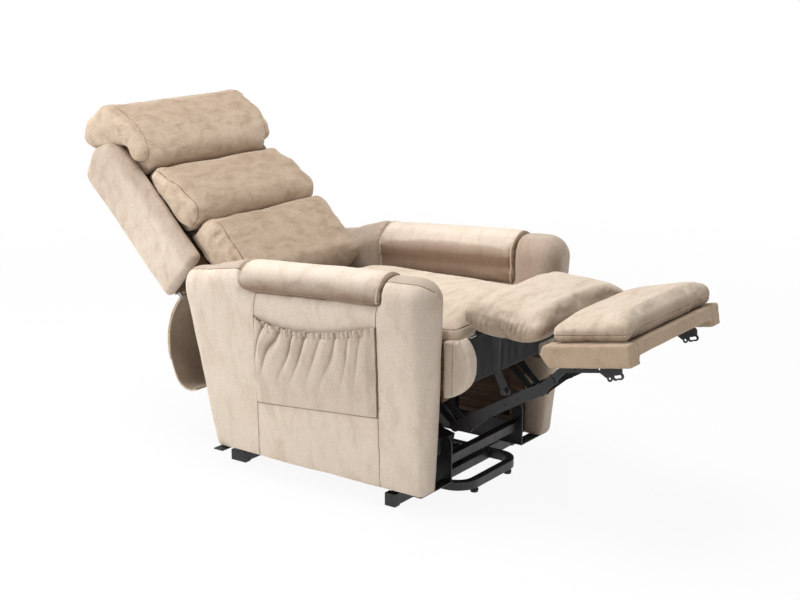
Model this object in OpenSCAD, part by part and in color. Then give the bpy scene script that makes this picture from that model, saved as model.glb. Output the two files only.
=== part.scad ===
// Power lift recliner armchair: floor base, lift linkage, leg-rest linkage, seat, arms and reclining back.
// Sizes in millimetres. X is across the chair, the chair faces -Y, +Z is up.
// The origin is on the floor, under the middle of the lowered, reclined chair with its leg rest out.
// Points written as [y, z] lie in the side view.

/* [Seat] */
// Clear width between the two arms
seat_gap = 532; // [500:2:580]
// Height of the top of the seat cushion
seat_top_z = 566; // [556:1:576]
// Height of the wooden seat side rails
seat_rail_h = 162; // [155:1:168]
// Thickness of the seat side rails
seat_rail_t = 30; // [24:1:34]
// Height of the upper edge of the seat side rails
seat_rail_top_z = 470; // [466:1:474]
// Front end of the seat side rails
seat_front_y = -430; // [-436:1:-424]
// Rear end of the seat side rails
seat_rear_y = 300; // [294:1:310]
// Rear end of the seat cushion
cushion_rear_y = 196; // [180:1:200]
// Gap between the seat cushion and each arm
cushion_gap = 5; // [4:1:14]
// Number of zig-zag springs under the cushion
spring_count = 5; // [3:1:5]
// Size of the flat zig-zag spring wire
spring_wire = 4; // [3:0.5:4]

/* [Arms] */
// Width of an arm at its foot
arm_foot_w = 72; // [60:1:80]
// Radius of the rounded arm crown
arm_crown_r = 62; // [58:1:66]
// Height of the foot of the arms above the floor
arm_foot_z = 56; // [54:1:60]
// Height of the top of the arm at its front
arm_front_top_z = 652; // [640:1:660]
// Height of the top of the arm near the back
arm_rear_top_z = 619; // [612:1:626]
// How far the arm pad stands proud of the arm
arm_pad_proud = 6; // [4:1:10]
// Front end of the arm pads
arm_pad_front_y = -272; // [-290:1:-250]
// Rear end of the arm pads
arm_pad_rear_y = 215; // [190:1:230]
// Radius of the lower rear corner of the arm pads
arm_pad_corner_r = 45; // [30:1:55]
// Depth of the wooden side frame let into each arm
arm_frame_t = 32; // [28:1:36]

/* [Side pocket] */
// Width of the gathered pocket
pocket_w = 414; // [380:2:430]
// Height of the gathered pocket
pocket_h = 242; // [220:2:250]
// Inside depth of the pocket mouth
pocket_depth = 20; // [17:1:22]
// Thickness of the pocket fabric and its hem
pocket_wall = 4; // [3:0.5:5]

/* [Back] */
// Angle of the reclined back from upright
recline_deg = 44.5; // [43:0.5:46]
// Width across the side bolsters of the back
back_w = 600; // [580:2:620]
// Length of the back from its hinge to the top of the bolsters
back_len = 725; // [700:1:740]
// Depth of the side bolsters
bolster_d = 190; // [180:1:196]
// Where the side bolsters start, measured up the back
bolster_low = 232; // [226:1:240]

/* [Leg rest] */
// Width of the foot board
foot_w = 516; // [490:2:520]
// Length of the foot board
foot_len = 252; // [240:1:256]
// Depth of the side cheeks of the foot board
cheek_h = 58; // [54:1:60]
// Width of each side cheek
cheek_w = 50; // [45:1:55]
// Upward tilt of the foot board when it is out
foot_tilt = 9.7; // [9:0.1:10.5]
// Thickness of the foot pillow
foot_pillow_h = 66; // [56:1:68]
// Length of the leg pad
leg_pad_len = 228; // [220:1:232]
// Thickness of the leg pad
leg_pad_h = 84; // [76:1:88]

/* [Floor base] */
// Distance of each base rail from the middle of the chair
base_rail_x = 142; // [138:1:146]
// Width of the base tubes
base_tube_w = 22; // [20:1:24]
// Height of the base tubes
base_tube_h = 24; // [22:1:26]
// Height of the rubber glides
glide_h = 14; // [12:1:16]
// Bend radius of the front loop, at the middle of the tube
loop_bend_r = 58; // [50:1:64]
// Length of the floor bars, end to end
floor_bar_len = 624; // [600:2:640]

/* [Steel mechanism] */
// Thickness of the link plates
link_t = 4; // [3:0.5:4.5]
// Width of the leg-rest drive and guide links
drive_link_w = 22; // [20:1:23]
// Width of the long leg-rest links
long_link_w = 34; // [30:1:36]
// Width of the lift arms
lift_arm_w = 26; // [22:1:28]
// Distance of each lift frame side plate from the middle of the chair
lift_plate_x = 182; // [180:1:186]
// Radius of the hinge pins
pin_r = 5; // [4:0.5:6]
// Radial running clearance of the hinge pins
pin_clear = 0.05; // [0.03:0.01:0.1]
// Radial clearance of the pivots that close a linkage
loop_clear = 1; // [0.8:0.1:1.5]
// Outer radius of the torque tubes
torque_tube_r = 14; // [12:0.5:15]

/* [Motors] */
// Outer radius of the motor thrust tubes
thrust_tube_r = 19; // [18:0.5:20]
// Wall of the motor thrust tubes
thrust_tube_wall = 3; // [2:0.5:3]
// Radius of the push rods
push_rod_r = 8; // [7:0.5:8]
// Distance of the leg-rest and back motors from the middle of the chair
motor_x = 70; // [64:1:80]

/* [Hidden] */

velour = "#c9b195";
velour_light = "#d3c0a6";
black_steel = "#1d1d1f";
zinc = "#9a9a98";
wood = "#9b6a3e";
dust_cloth = "#2b2b2d";
rubber = "#151515";
moulding = "#242426";

// Side-view pivots of the lift linkage
lift_rear_foot = [188.7, 60];
lift_rear_head = [-93.6, 65];
lift_front_foot = [73, 110];
lift_front_head = [-143.2, 99.1];
lift_lever_tip = [147, 151];
lift_motor_foot = [-247, 72];
lift_motor_aim = lift_lever_tip + [0, 4.7];

// Side-view pivots of the leg-rest linkage
drive_top = [-148, 421.2];
guide_top = [-187.1, 423.4];
drive_foot = [-383, 225];
guide_foot = [-425, 228];
foot_pivot = [-680, 410];
strut_foot = [-535, 350];
strut_knee = [-503, 410];
strut_top = [-505, 484];
leg_pad_hinge = [-440, 484];
leg_lever_tip = [-194.2, 368.4];
leg_motor_foot = [185, 352];
leg_motor_aim = leg_lever_tip - [0, 6.6];

// Side-view pivots of the back
back_hinge = [282, 420];
back_lever_tip = [256, 313];
back_motor_foot = [0, 320];
back_motor_aim = back_lever_tip - [0, 2.2];
skirt_hinge_up = 220;
skirt_hinge_back = 176;

// Layers across the chair, from the middle outwards
rail_in_x = seat_gap / 2 - seat_rail_t;
drive_layer_x = 196;
long_layer_x = drive_layer_x + link_t + 2;
bracket_layer_x = long_layer_x + 2 * link_t + 2;
web_layer_x = bracket_layer_x;
ear_x = base_rail_x;
inner_arm_x = ear_x - 4 - 6;
outer_arm_x = ear_x + link_t + 4;
lift_arm_t = 6;
bar_waist = 0.88;

base_z = glide_h;
base_top_z = base_z + base_tube_h;
loop_front_y = -372;
rail_rear_y = 330;
front_bar_y = -247;
rear_bar_y = 318;
rail_bottom_z = seat_rail_top_z - seat_rail_h;
front_bar_w = 30;
rear_bar_w = 50;
rear_bar_inset = 25;
floor_bar_z = 2;
cap_len = 22;
cap_in = 3;
glide_x = base_rail_x - loop_bend_r + 3;
glide_r = 12;
ear_r = 12;
clevis_in = 14;
lever_in = 12;
pin_head_t = 2;
gearbox_w = 64;
motor_can_r = 22;
lift_front_y = -361;
lift_rear_y = 352;
// Front lower edge [y, z] of each lift frame cross tube, from front to rear
lift_tubes = [[-343, 96], [-130, 140], [270, 96]];
front_rail_y = seat_front_y + 57;
rear_rail_y = 222;
spring_turns = 6;
spring_amp = 34;
cushion_base_z = seat_rail_top_z + spring_wire + 2;
arm_foot_front_y = -372;
arm_foot_rear_y = 358;
arm_crown_front_y = -354;
arm_pad_drop = 8;
arm_pad_flap_drop = 72;
arm_pad_flap_t = 16;
pocket_rear_y = 179;
pocket_low_z = 226;
pocket_rise = 4.8;
pocket_lean = 3.2;
arm_in_x = seat_gap / 2;
crown_x = arm_in_x + arm_crown_r;
arm_side_lean = atan((arm_crown_r * 2 - arm_foot_w) / (arm_rear_top_z - arm_crown_r - arm_foot_z));
pocket_face_x = arm_in_x + arm_foot_w + (pocket_low_z - arm_foot_z) * tan(arm_side_lean);

link_bend = [-600, 352];
link_lap = [-500, 292];
cheek_low = 40;
cheek_top = cheek_low + cheek_h;
pad_low_z = leg_pad_hinge[1] + 14;
hinge_rod_r = 4;
journal_r = 8;
// The back frame runs between the arms, and the bolsters reach out from it above them.
bolster_x = arm_in_x - 8;
bolster_t = back_w / 2 - bolster_x;
rail_x = bolster_x - 36;
// The skirt hangs from a rod behind the back's lower end.
skirt_half_w = 244;
skirt_t = 7;
skirt_top = [back_hinge[0] + skirt_hinge_up * sin(recline_deg) + skirt_hinge_back * cos(recline_deg),
  back_hinge[1] + skirt_hinge_up * cos(recline_deg) - skirt_hinge_back * sin(recline_deg)];

function between(a, b, s) = a + (b - a) * s;
function slope(a, b) = atan2(b[1] - a[1], b[0] - a[0]);

// Both sides of the chair.
module both_sides() { children(); mirror([1, 0, 0]) children(); }
// Raises a side-view outline from x to x + t.
module plate(x, t) { translate([x, 0, 0]) rotate([90, 0, 90]) linear_extrude(t) children(); }
// A straight bar in the side view, waisted a little between the round eyes at its ends.
module bar(a, b, w) {
  translate(a) circle(d = w, $fn = 40);
  translate(b) circle(d = w, $fn = 40);
  translate(a) rotate(slope(a, b)) translate([0, -w * bar_waist / 2]) square([norm(b - a), w * bar_waist]);
}
// A round rod across the chair from x0 to x1.
module cross_rod(p, x0, x1, r) { translate([x0, p[0], p[1]]) rotate([0, 90, 0]) cylinder(h = x1 - x0, r = r, $fn = 40); }
// A block from its lowest to its highest corner.
module block(low, high) { translate(low) cube(high - low); }
// Rounded soft block, its corners balls of radius r.
module soft_block(low, high, r) {
  hull() for (x = [low[0] + r, high[0] - r], y = [low[1] + r, high[1] - r], z = [low[2] + r, high[2] - r])
    translate([x, y, z]) sphere(r = r, $fn = 16);
}

// ---- Floor base ----
module base_tube_section() { square([base_tube_w, base_tube_h]); }

module base_front_loop() color(black_steel) {
  straight = base_rail_x - loop_bend_r;
  translate([0, 0, base_z]) {
    translate([-straight, loop_front_y - base_tube_w / 2, 0]) cube([2 * straight, base_tube_w, base_tube_h]);
    for (s = [-1, 1]) translate([s * straight, loop_front_y + loop_bend_r, 0]) rotate(s > 0 ? -90 : -180)
      rotate_extrude(angle = 90, $fn = 64) translate([loop_bend_r - base_tube_w / 2, 0]) base_tube_section();
    for (s = [-1, 1]) translate([s * base_rail_x - base_tube_w / 2, loop_front_y + loop_bend_r, 0])
      cube([base_tube_w, front_bar_y - front_bar_w / 2 - (loop_front_y + loop_bend_r), base_tube_h]);
    translate([-base_rail_x, front_bar_y - front_bar_w / 2 - base_tube_w, 0]) cube([2 * base_rail_x, base_tube_w, base_tube_h]);
  }
}

module base_side_rails() color(black_steel) both_sides()
  block([base_rail_x - base_tube_w / 2, front_bar_y + front_bar_w / 2, base_z],
        [base_rail_x + base_tube_w / 2, rear_bar_y - rear_bar_w / 2, base_top_z]);

module front_floor_bar() color(black_steel)
  block([cap_in - floor_bar_len / 2, front_bar_y - front_bar_w / 2, floor_bar_z],
        [floor_bar_len / 2 - cap_in, front_bar_y + front_bar_w / 2, base_top_z - 4]);

module rear_floor_bar() color(black_steel)
  block([rear_bar_inset + cap_in - floor_bar_len / 2, rear_bar_y - rear_bar_w / 2, floor_bar_z],
        [floor_bar_len / 2 - rear_bar_inset - cap_in, rear_bar_y + rear_bar_w / 2, base_top_z - 9]);

// Plugs over the open tube ends; the chair stands on them.
module floor_bar_end_caps() color(moulding) both_sides() {
  end_cap(floor_bar_len / 2, front_bar_y, front_bar_w, base_top_z - 4);
  end_cap(floor_bar_len / 2 - rear_bar_inset, rear_bar_y, rear_bar_w, base_top_z - 9);
}
module end_cap(x_out, y, w, top) difference() {
  block([x_out - cap_len, y - w / 2 - floor_bar_z, 0], [x_out, y + w / 2 + floor_bar_z, top + floor_bar_z]);
  block([x_out - cap_len - 1, y - w / 2, floor_bar_z], [x_out - cap_in, y + w / 2, top]);
}

module rubber_glides() color(rubber) both_sides()
  translate([glide_x, loop_front_y, 0]) {
    cylinder(h = glide_h * 0.6, r1 = glide_r - 1.5, r2 = glide_r, $fn = 40);
    translate([0, 0, glide_h * 0.6]) cylinder(h = glide_h * 0.4, r = glide_r - 2, $fn = 40);
  }

// Upright ears on the base rails: the lift arms turn on them, and the lift motor is pinned to a pair in the middle.
module base_pivot_ears() color(black_steel) {
  both_sides() difference() {
    plate(ear_x, link_t) {
      ear_profile(lift_rear_foot, base_top_z, 46);
      ear_profile(lift_front_foot, base_top_z, 60);
    }
    cross_rod(lift_rear_foot, ear_x - 1, ear_x + link_t + 1, pin_r);
    cross_rod(lift_front_foot, ear_x - 1, ear_x + link_t + 1, pin_r);
  }
  both_sides() difference() {
    plate(clevis_in, link_t) ear_profile(lift_motor_foot, base_top_z - 4, front_bar_w);
    cross_rod(lift_motor_foot, clevis_in - 1, clevis_in + link_t + 1, pin_r);
  }
}
module ear_profile(p, foot_z, w) {
  translate(p) circle(r = ear_r, $fn = 40);
  polygon([[p[0] - ear_r, p[1]], [p[0] + ear_r, p[1]], [p[0] + w / 2, foot_z], [p[0] - w / 2, foot_z]]);
}

module base_pivot_pins() color(zinc) {
  both_sides() {
    headed_pin(lift_rear_foot, inner_arm_x, ear_x + link_t);
    headed_pin(lift_front_foot, ear_x, outer_arm_x + lift_arm_t);
  }
  headed_pin(lift_motor_foot, -clevis_in - link_t, clevis_in + link_t);
}
// Pin from x0 to x1 with a flat head at each end.
module headed_pin(p, x0, x1) {
  cross_rod(p, x0 - 0.6, x1 + 0.6, pin_r);
  cross_rod(p, x0 - 0.6 - pin_head_t, x0 - 0.6, pin_r + 3);
  cross_rod(p, x1 + 0.6, x1 + 0.6 + pin_head_t, pin_r + 3);
}

// ---- Lift linkage ----
module rear_lift_arms() color(black_steel) difference() {
  union() {
    both_sides() plate(inner_arm_x, lift_arm_t) {
      bar(lift_rear_foot, lift_rear_head, lift_arm_w);
      translate(lift_rear_foot) circle(r = torque_tube_r + 4, $fn = 48);
    }
    cross_rod(lift_rear_foot, -inner_arm_x, inner_arm_x, torque_tube_r);
    both_sides() plate(lever_in, link_t) lever_profile(lift_rear_foot, lift_lever_tip);
    cross_rod(lift_lever_tip, -lever_in, lever_in, pin_r);
  }
  both_sides() {
    cross_rod(lift_rear_foot, inner_arm_x - 1, inner_arm_x + lift_arm_t + 1, pin_r + pin_clear);
    cross_rod(lift_rear_head, inner_arm_x - 1, inner_arm_x + lift_arm_t + 1, pin_r + pin_clear);
    cross_rod(lift_rear_foot, inner_arm_x - 12, inner_arm_x, pin_r + 4);
  }
}
// Tapered lever from a torque tube to its tip.
module lever_profile(root, tip) {
  bar(root, tip, 2 * ear_r);
  bar(root, between(root, tip, 0.45), 2 * torque_tube_r + 4);
}

module front_lift_arms() color(black_steel) both_sides() difference() {
  plate(outer_arm_x, lift_arm_t) bar(lift_front_foot, lift_front_head, lift_arm_w);
  cross_rod(lift_front_foot, outer_arm_x - 1, outer_arm_x + lift_arm_t + 1, pin_r + pin_clear);
  cross_rod(lift_front_head, outer_arm_x - 1, outer_arm_x + lift_arm_t + 1, pin_r + loop_clear);
}

module lift_motor() color(moulding) motor_body(0, lift_motor_foot, lift_motor_aim, 336);
module lift_motor_rod() color(zinc) push_rod(0, lift_motor_foot, lift_motor_aim, lift_lever_tip, 208);

// Motor, gearbox and thrust tube, from the clevis at foot towards aim, half way across the lever's arc.
module motor_body(x, foot, aim, tube_len) translate([x, foot[0], foot[1]]) rotate([slope(foot, aim), 0, 0]) {
  difference() {
    union() {
      rotate([0, 90, 0]) translate([0, 0, 1 - clevis_in]) cylinder(h = 2 * clevis_in - 2, r = ear_r, $fn = 40);
      block([-8, 0, -ear_r], [8, 34, ear_r]);
      block([-gearbox_w / 2, 26, -gearbox_w / 2 + 2], [gearbox_w / 2, 74, gearbox_w / 2 - 2]);
      translate([0, 74, 0]) rotate([-90, 0, 0]) cylinder(h = tube_len - 74, r = thrust_tube_r, $fn = 56);
      translate([0, tube_len - 16, 0]) rotate([-90, 0, 0]) cylinder(h = 12, r = thrust_tube_r + 2, $fn = 56);
      translate([(x < 0 ? -1 : 1) * (thrust_tube_r + motor_can_r + 1), 60, 0]) rotate([-90, 0, 0])
        cylinder(h = 96, r = motor_can_r, $fn = 56);
    }
    rotate([0, 90, 0]) translate([0, 0, -clevis_in]) cylinder(h = 2 * clevis_in, r = pin_r + pin_clear, $fn = 40);
    translate([0, 80, 0]) rotate([-90, 0, 0]) cylinder(h = tube_len, r = thrust_tube_r - thrust_tube_wall, $fn = 56);
  }
}
// Push rod with a flat eye on the lever pin; its tail runs inside the thrust tube.
module push_rod(x, foot, aim, tip, len) translate([x, tip[0], tip[1]]) rotate([slope(foot, aim), 0, 0]) difference() {
  union() {
    translate([0, -len, 0]) rotate([-90, 0, 0]) cylinder(h = len - ear_r + 2, r = push_rod_r, $fn = 40);
    rotate([0, 90, 0]) translate([0, 0, 1 - lever_in]) cylinder(h = 2 * lever_in - 2, r = ear_r, $fn = 40);
  }
  rotate([0, 90, 0]) translate([0, 0, -lever_in]) cylinder(h = 2 * lever_in, r = pin_r + pin_clear, $fn = 40);
}

// ---- Lift frame under the seat ----
module lift_side_plates() color(black_steel) both_sides() difference() {
  plate(lift_plate_x, link_t) {
    translate([lift_front_y, arm_foot_z - 3]) square([lift_rear_y - lift_front_y, 69]);
    translate([lift_front_y, arm_foot_z - 3]) square([36, 108]);
    translate([lift_front_y + 18, arm_foot_z + 105]) circle(r = 18, $fn = 48);
    translate([lift_tubes[1][0] - 10, arm_foot_z - 3]) square([45, lift_tubes[1][1] + 28 - arm_foot_z]);
  }
  for (y = [-220, 60, 250]) cross_rod([y, 100], lift_plate_x - 1, lift_plate_x + link_t + 1, 6);
}

module lift_cross_tubes() color(black_steel) {
  for (t = lift_tubes) block([-lift_plate_x, t[0], t[1]], [lift_plate_x, t[0] + 25, t[1] + 25]);
}

// Hanging brackets that carry the heads of the lift arms.
module lift_pivot_brackets() color(black_steel) both_sides() difference() {
  plate(ear_x, link_t) {
    translate(lift_rear_head) circle(r = ear_r, $fn = 40);
    translate(lift_front_head) circle(r = ear_r, $fn = 40);
    polygon([[lift_rear_head[0] - ear_r, lift_rear_head[1] - 2], [lift_rear_head[0] + ear_r, lift_rear_head[1]],
      [lift_tubes[1][0] + 25, lift_tubes[1][1]], [lift_tubes[1][0], lift_tubes[1][1]],
      [lift_front_head[0] - ear_r, lift_front_head[1] + 4], [lift_front_head[0] - ear_r + 3, lift_front_head[1] - 6]]);
  }
  cross_rod(lift_rear_head, ear_x - 1, ear_x + link_t + 1, pin_r);
  cross_rod(lift_front_head, ear_x - 1, ear_x + link_t + 1, pin_r);
}

// Flat bars with an edge bend that carry the arms; each has an open bolt hole at its end.
module arm_support_flats() color(black_steel) both_sides() difference() {
  for (y = [lift_front_y, lift_rear_y - 40])
    block([lift_plate_x + link_t, y, arm_foot_z - 3], [arm_in_x + arm_foot_w + (y > 0 ? 22 : -10), y + 34, arm_foot_z]);
  translate([arm_in_x + arm_foot_w + 12, lift_rear_y - 40 + 17, arm_foot_z - 4]) cylinder(h = 5, r = 4, $fn = 32);
}

module lift_frame_pins() color(zinc) both_sides() {
  headed_pin(lift_rear_head, inner_arm_x, ear_x + link_t);
  headed_pin(lift_front_head, ear_x, outer_arm_x + lift_arm_t);
}

// ---- Seat ----
module seat_side_rails() color(wood) both_sides()
  block([rail_in_x, seat_front_y + 46, rail_bottom_z], [arm_in_x, seat_rear_y, seat_rail_top_z]);

module seat_cross_rails() color(wood) {
  block([-rail_in_x, front_rail_y - 11, seat_rail_top_z - 64], [rail_in_x, front_rail_y + 11, seat_rail_top_z]);
  block([-rail_in_x, rear_rail_y - 12, seat_rail_top_z - 64], [rail_in_x, rear_rail_y + 12, seat_rail_top_z]);
}

// Padded, rounded front ends of the seat side rails.
module seat_front_pads() color(velour) both_sides() {
  front = seat_front_y - 38;
  plate(rail_in_x - 12, arm_in_x - rail_in_x + 11) intersection() {
    union() {
      translate([front, rail_bottom_z - 4]) square([seat_front_y - front - 2, 196]);
      translate([front, rail_bottom_z - 4]) square([seat_front_y + 46 - front, seat_rail_top_z + 8 - rail_bottom_z]);
    }
    union() {
      translate([front + 96, rail_bottom_z + 104]) circle(r = 96, $fn = 96);
      translate([front + 40, rail_bottom_z + 104]) square([60, 88]);
    }
  }
}

module front_dust_cloth() color(dust_cloth)
  block([12 - rail_in_x, seat_front_y + 43.5, rail_bottom_z + 18], [rail_in_x - 12, seat_front_y + 46, seat_rail_top_z]);

// Zig-zag springs: half rings joined by straight stretches, clipped between the cross rails.
module seat_springs() color(zinc) {
  y0 = front_rail_y;
  pitch = (rear_rail_y - y0) / (2 * spring_turns);
  for (i = [0:spring_count - 1])
    translate([(i - (spring_count - 1) / 2) * (2 * rail_in_x - 90) / (spring_count - 1), y0, seat_rail_top_z])
      linear_extrude(spring_wire) zigzag(pitch);
}
module zigzag(pitch) {
  arm = spring_amp - pitch / 2;
  for (k = [0:2 * spring_turns - 1]) {
    side = k % 2 == 0 ? 1 : -1;
    translate([side * arm, (k + 0.5) * pitch]) intersection() {
      difference() {
        circle(r = pitch / 2 + spring_wire / 2, $fn = 40);
        circle(r = pitch / 2 - spring_wire / 2, $fn = 40);
      }
      translate([side > 0 ? 0 : -pitch, -pitch]) square([pitch, 2 * pitch]);
    }
    if (k > 0) translate([-arm, k * pitch - spring_wire / 2]) square([2 * arm, spring_wire]);
  }
  for (y = [0, 2 * spring_turns * pitch])
    translate([y == 0 ? 0 : -arm, y - spring_wire / 2]) square([arm, spring_wire]);
}

module seat_cushion() color(velour_light) hull() both_sides()
  for (y = [seat_front_y + 36, cushion_rear_y - 36]) {
    translate([arm_in_x - cushion_gap - 34, y, cushion_base_z]) cylinder(h = 12, r = 30, $fn = 32);
    translate([arm_in_x - cushion_gap - 34, y, seat_top_z - 22 - 34]) sphere(r = 34, $fn = 24);
    translate([100, y + (y < 0 ? 30 : -30), seat_top_z - 40]) sphere(r = 40, $fn = 24);
  }

// ---- Arms ----
// Point on the crown line of the arm at y.
function crown_z(y) = arm_rear_top_z + (arm_front_top_z - arm_rear_top_z) * (arm_pad_rear_y - y) / (arm_pad_rear_y - arm_crown_front_y);

module arm_body() hull() {
  translate([crown_x, arm_crown_front_y, arm_front_top_z - arm_crown_r]) sphere(r = arm_crown_r, $fn = 48);
  translate([crown_x, arm_pad_rear_y, arm_rear_top_z - arm_crown_r]) sphere(r = arm_crown_r, $fn = 48);
  translate([crown_x, 383, 505]) sphere(r = arm_crown_r - 8, $fn = 48);
  for (x = [arm_in_x + 14, arm_in_x + arm_foot_w - 14], y = [arm_foot_front_y + 14, arm_foot_rear_y - 14])
    translate([x, y, arm_foot_z]) cylinder(h = 2, r = 14, $fn = 32);
}
module arm_solid() difference() {
  arm_body();
  arm_pad_bed();
  block([arm_in_x - 20, arm_foot_front_y + 62, arm_foot_z - 1], [arm_in_x + arm_frame_t, arm_foot_rear_y - 40, seat_rail_top_z]);
}
// The bed cut into the arm for its pad slopes down rearward. Its outer edge has a rounded lower rear
// corner, and on the inside the pad goes down flush beside the seat cushion.
module arm_pad_bed() {
  front = arm_pad_front_y - arm_pad_rear_y;
  r = arm_pad_corner_r;
  translate([0, arm_pad_rear_y, arm_rear_top_z - arm_crown_r - arm_pad_drop])
    rotate([-atan((arm_front_top_z - arm_rear_top_z) / (arm_pad_rear_y - arm_crown_front_y)), 0, 0]) {
      plate(arm_in_x - 30, 2 * arm_crown_r + 60)
        polygon([[front, 0], for (a = [-90:15:0]) r * [cos(a) - 1, sin(a) + 1], [0, 140], [front, 140]]);
      plate(arm_in_x - 30, 30 + arm_pad_flap_t) translate([front, -arm_pad_flap_drop]) square([-front, 200]);
    }
}
module left_arm_cover() color(velour) arm_solid();
module right_arm_cover() color(velour) mirror([1, 0, 0]) arm_solid();

module arm_top_pads() color(velour_light) both_sides() intersection() {
  union() {
    hull() for (y = [arm_pad_front_y + 12, arm_pad_rear_y - 12])
      translate([crown_x, y, crown_z(y) - arm_crown_r]) rotate([90, 0, 0]) {
        translate([0, 0, -2]) cylinder(h = 4, r = arm_crown_r + arm_pad_proud, $fn = 64);
        translate([0, 0, -12]) cylinder(h = 24, r = arm_crown_r + arm_pad_proud - 4, $fn = 64);
      }
    arm_body();
  }
  arm_pad_bed();
}

// Wooden side frame let into the inside of each arm: a thin board glued to its rail and posts.
module arm_side_frames() color(wood) both_sides() {
  x0 = arm_in_x;
  x1 = arm_in_x + arm_frame_t;
  y0 = arm_foot_front_y + 62;
  y1 = arm_foot_rear_y - 40;
  block([x1 - 6, y0, arm_foot_z], [x1, y1, seat_rail_top_z]);
  block([x0, y0, arm_foot_z], [x1 - 6, y1, arm_foot_z + 46]);
  for (y = [y0, y1 - 44, (y0 + y1) / 2 - 22]) block([x0, y, arm_foot_z + 46], [x1 - 6, y + 44, seat_rail_top_z]);
}

// Gathered pocket on one arm: a front with sides and a bottom sewn to the arm, open at the top.
module side_pocket() color(velour) mirror([1, 0, 0]) difference() {
  translate([pocket_face_x, pocket_rear_y, pocket_low_z]) rotate([0, arm_side_lean, 0]) difference() {
    plate(-12, pocket_depth + pocket_wall + 12) pocket_outline(0, 0);
    plate(-13, pocket_depth + 13) pocket_outline(pocket_wall, 40);
  }
  arm_solid();
}
// Side view of the pocket, drawn in by m at its sides and bottom and carried up by over.
module pocket_outline(m, over) {
  along = [-cos(pocket_rise), sin(pocket_rise)];
  up = [-sin(pocket_lean), cos(pocket_lean)];
  low = m * (along + up);
  far = low + (pocket_w - 2 * m) * along;
  polygon([low, far, far + (pocket_h + over - m) * up, low + (pocket_h + over - m) * up]);
}

// ---- Leg-rest linkage ----
// Z-section plates screwed to the seat side rails; both top pivots of the leg-rest linkage are on them.
module leg_mechanism_plates() color(black_steel) both_sides() {
  difference() {
    plate(web_layer_x, link_t) {
      bar(guide_top, drive_top, 3 * pin_r + 14);
      translate([guide_top[0] - 28, guide_top[1]]) square([drive_top[0] - guide_top[0] + 56, seat_rail_top_z - 14 - guide_top[1]]);
    }
    for (p = [drive_top, guide_top]) cross_rod(p, web_layer_x - 1, web_layer_x + link_t + 1, pin_r);
  }
  block([web_layer_x + link_t, guide_top[0] - 28, seat_rail_top_z - 14 - link_t],
        [rail_in_x, drive_top[0] + 28, seat_rail_top_z - 14]);
}

module leg_mechanism_pins() color(zinc) both_sides()
  for (p = [drive_top, guide_top]) headed_pin(p, drive_layer_x, web_layer_x + link_t);

module leg_drive_links() color(black_steel) difference() {
  union() {
    both_sides() plate(drive_layer_x, link_t) {
      bar(drive_top, drive_foot, drive_link_w);
      translate(drive_top) circle(r = torque_tube_r + 1, $fn = 48);
    }
    cross_rod(drive_top, -drive_layer_x, drive_layer_x, torque_tube_r);
    for (s = [-1, 1]) translate([-motor_x + s * (lever_in + link_t / 2) - link_t / 2, 0, 0])
      plate(0, link_t) lever_profile(drive_top, leg_lever_tip);
    cross_rod(leg_lever_tip, -motor_x - lever_in, -motor_x + lever_in, pin_r);
  }
  both_sides() {
    cross_rod(drive_top, drive_layer_x - 1, drive_layer_x + link_t + 1, pin_r + pin_clear);
    cross_rod(drive_top, drive_layer_x - 12, drive_layer_x, pin_r + 4);
    cross_rod(drive_foot, drive_layer_x - 1, drive_layer_x + link_t + 1, pin_r + pin_clear);
  }
}

module leg_guide_links() color(black_steel) both_sides() difference() {
  plate(drive_layer_x, link_t) bar(guide_top, guide_foot, drive_link_w);
  cross_rod(guide_top, drive_layer_x - 1, drive_layer_x + link_t + 1, pin_r + pin_clear);
  cross_rod(guide_foot, drive_layer_x - 1, drive_layer_x + link_t + 1, pin_r + loop_clear);
}

// Long cranked links, each of two plates riveted where they overlap.
module leg_long_links() color(black_steel) both_sides() difference() {
  union() {
    plate(long_layer_x, link_t) {
      bar(drive_foot, link_lap, long_link_w - 4);
      bar(drive_foot, guide_foot, 26);
      bar(guide_foot, link_lap, 24);
    }
    plate(long_layer_x + link_t, link_t) {
      bar(between(drive_foot, link_lap, 0.6), link_bend, long_link_w);
      bar(link_bend, [-645, 376], long_link_w);
      bar([-645, 376], foot_pivot, 28);
    }
  }
  for (p = [drive_foot, guide_foot]) cross_rod(p, long_layer_x - 1, long_layer_x + link_t + 1, pin_r);
  for (p = [strut_foot, foot_pivot])
    cross_rod(p, long_layer_x + link_t - 1, long_layer_x + 2 * link_t + 1, pin_r);
  for (s = [0.72, 0.9]) cross_rod(between(drive_foot, link_bend, s), long_layer_x - 1, long_layer_x + 2 * link_t + 1, 3);
}

module leg_link_pins() color(zinc) both_sides() {
  for (p = [drive_foot, guide_foot]) headed_pin(p, drive_layer_x, long_layer_x + link_t);
  headed_pin(strut_foot, drive_layer_x, long_layer_x + 2 * link_t);
  headed_pin(foot_pivot, long_layer_x + link_t, bracket_layer_x + link_t);
}

// Cranked struts and the strap across them that holds up the leg pad.
module pad_struts() color(black_steel) {
  both_sides() difference() {
    plate(drive_layer_x, link_t) {
      bar(strut_foot, strut_knee, 26);
      bar(strut_knee, strut_top, 26);
    }
    cross_rod(strut_foot, drive_layer_x - 1, drive_layer_x + link_t + 1, pin_r + pin_clear);
  }
  block([-drive_layer_x, strut_top[0] - 13, strut_top[1] + 1], [drive_layer_x, strut_top[0] + 13, strut_top[1] + 4]);
}

// ---- Foot board: placed at its pivot, tilted with the leg rest out ----
module at_foot() translate([0, foot_pivot[0], foot_pivot[1]]) rotate([-foot_tilt, 0, 0]) children();

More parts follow.
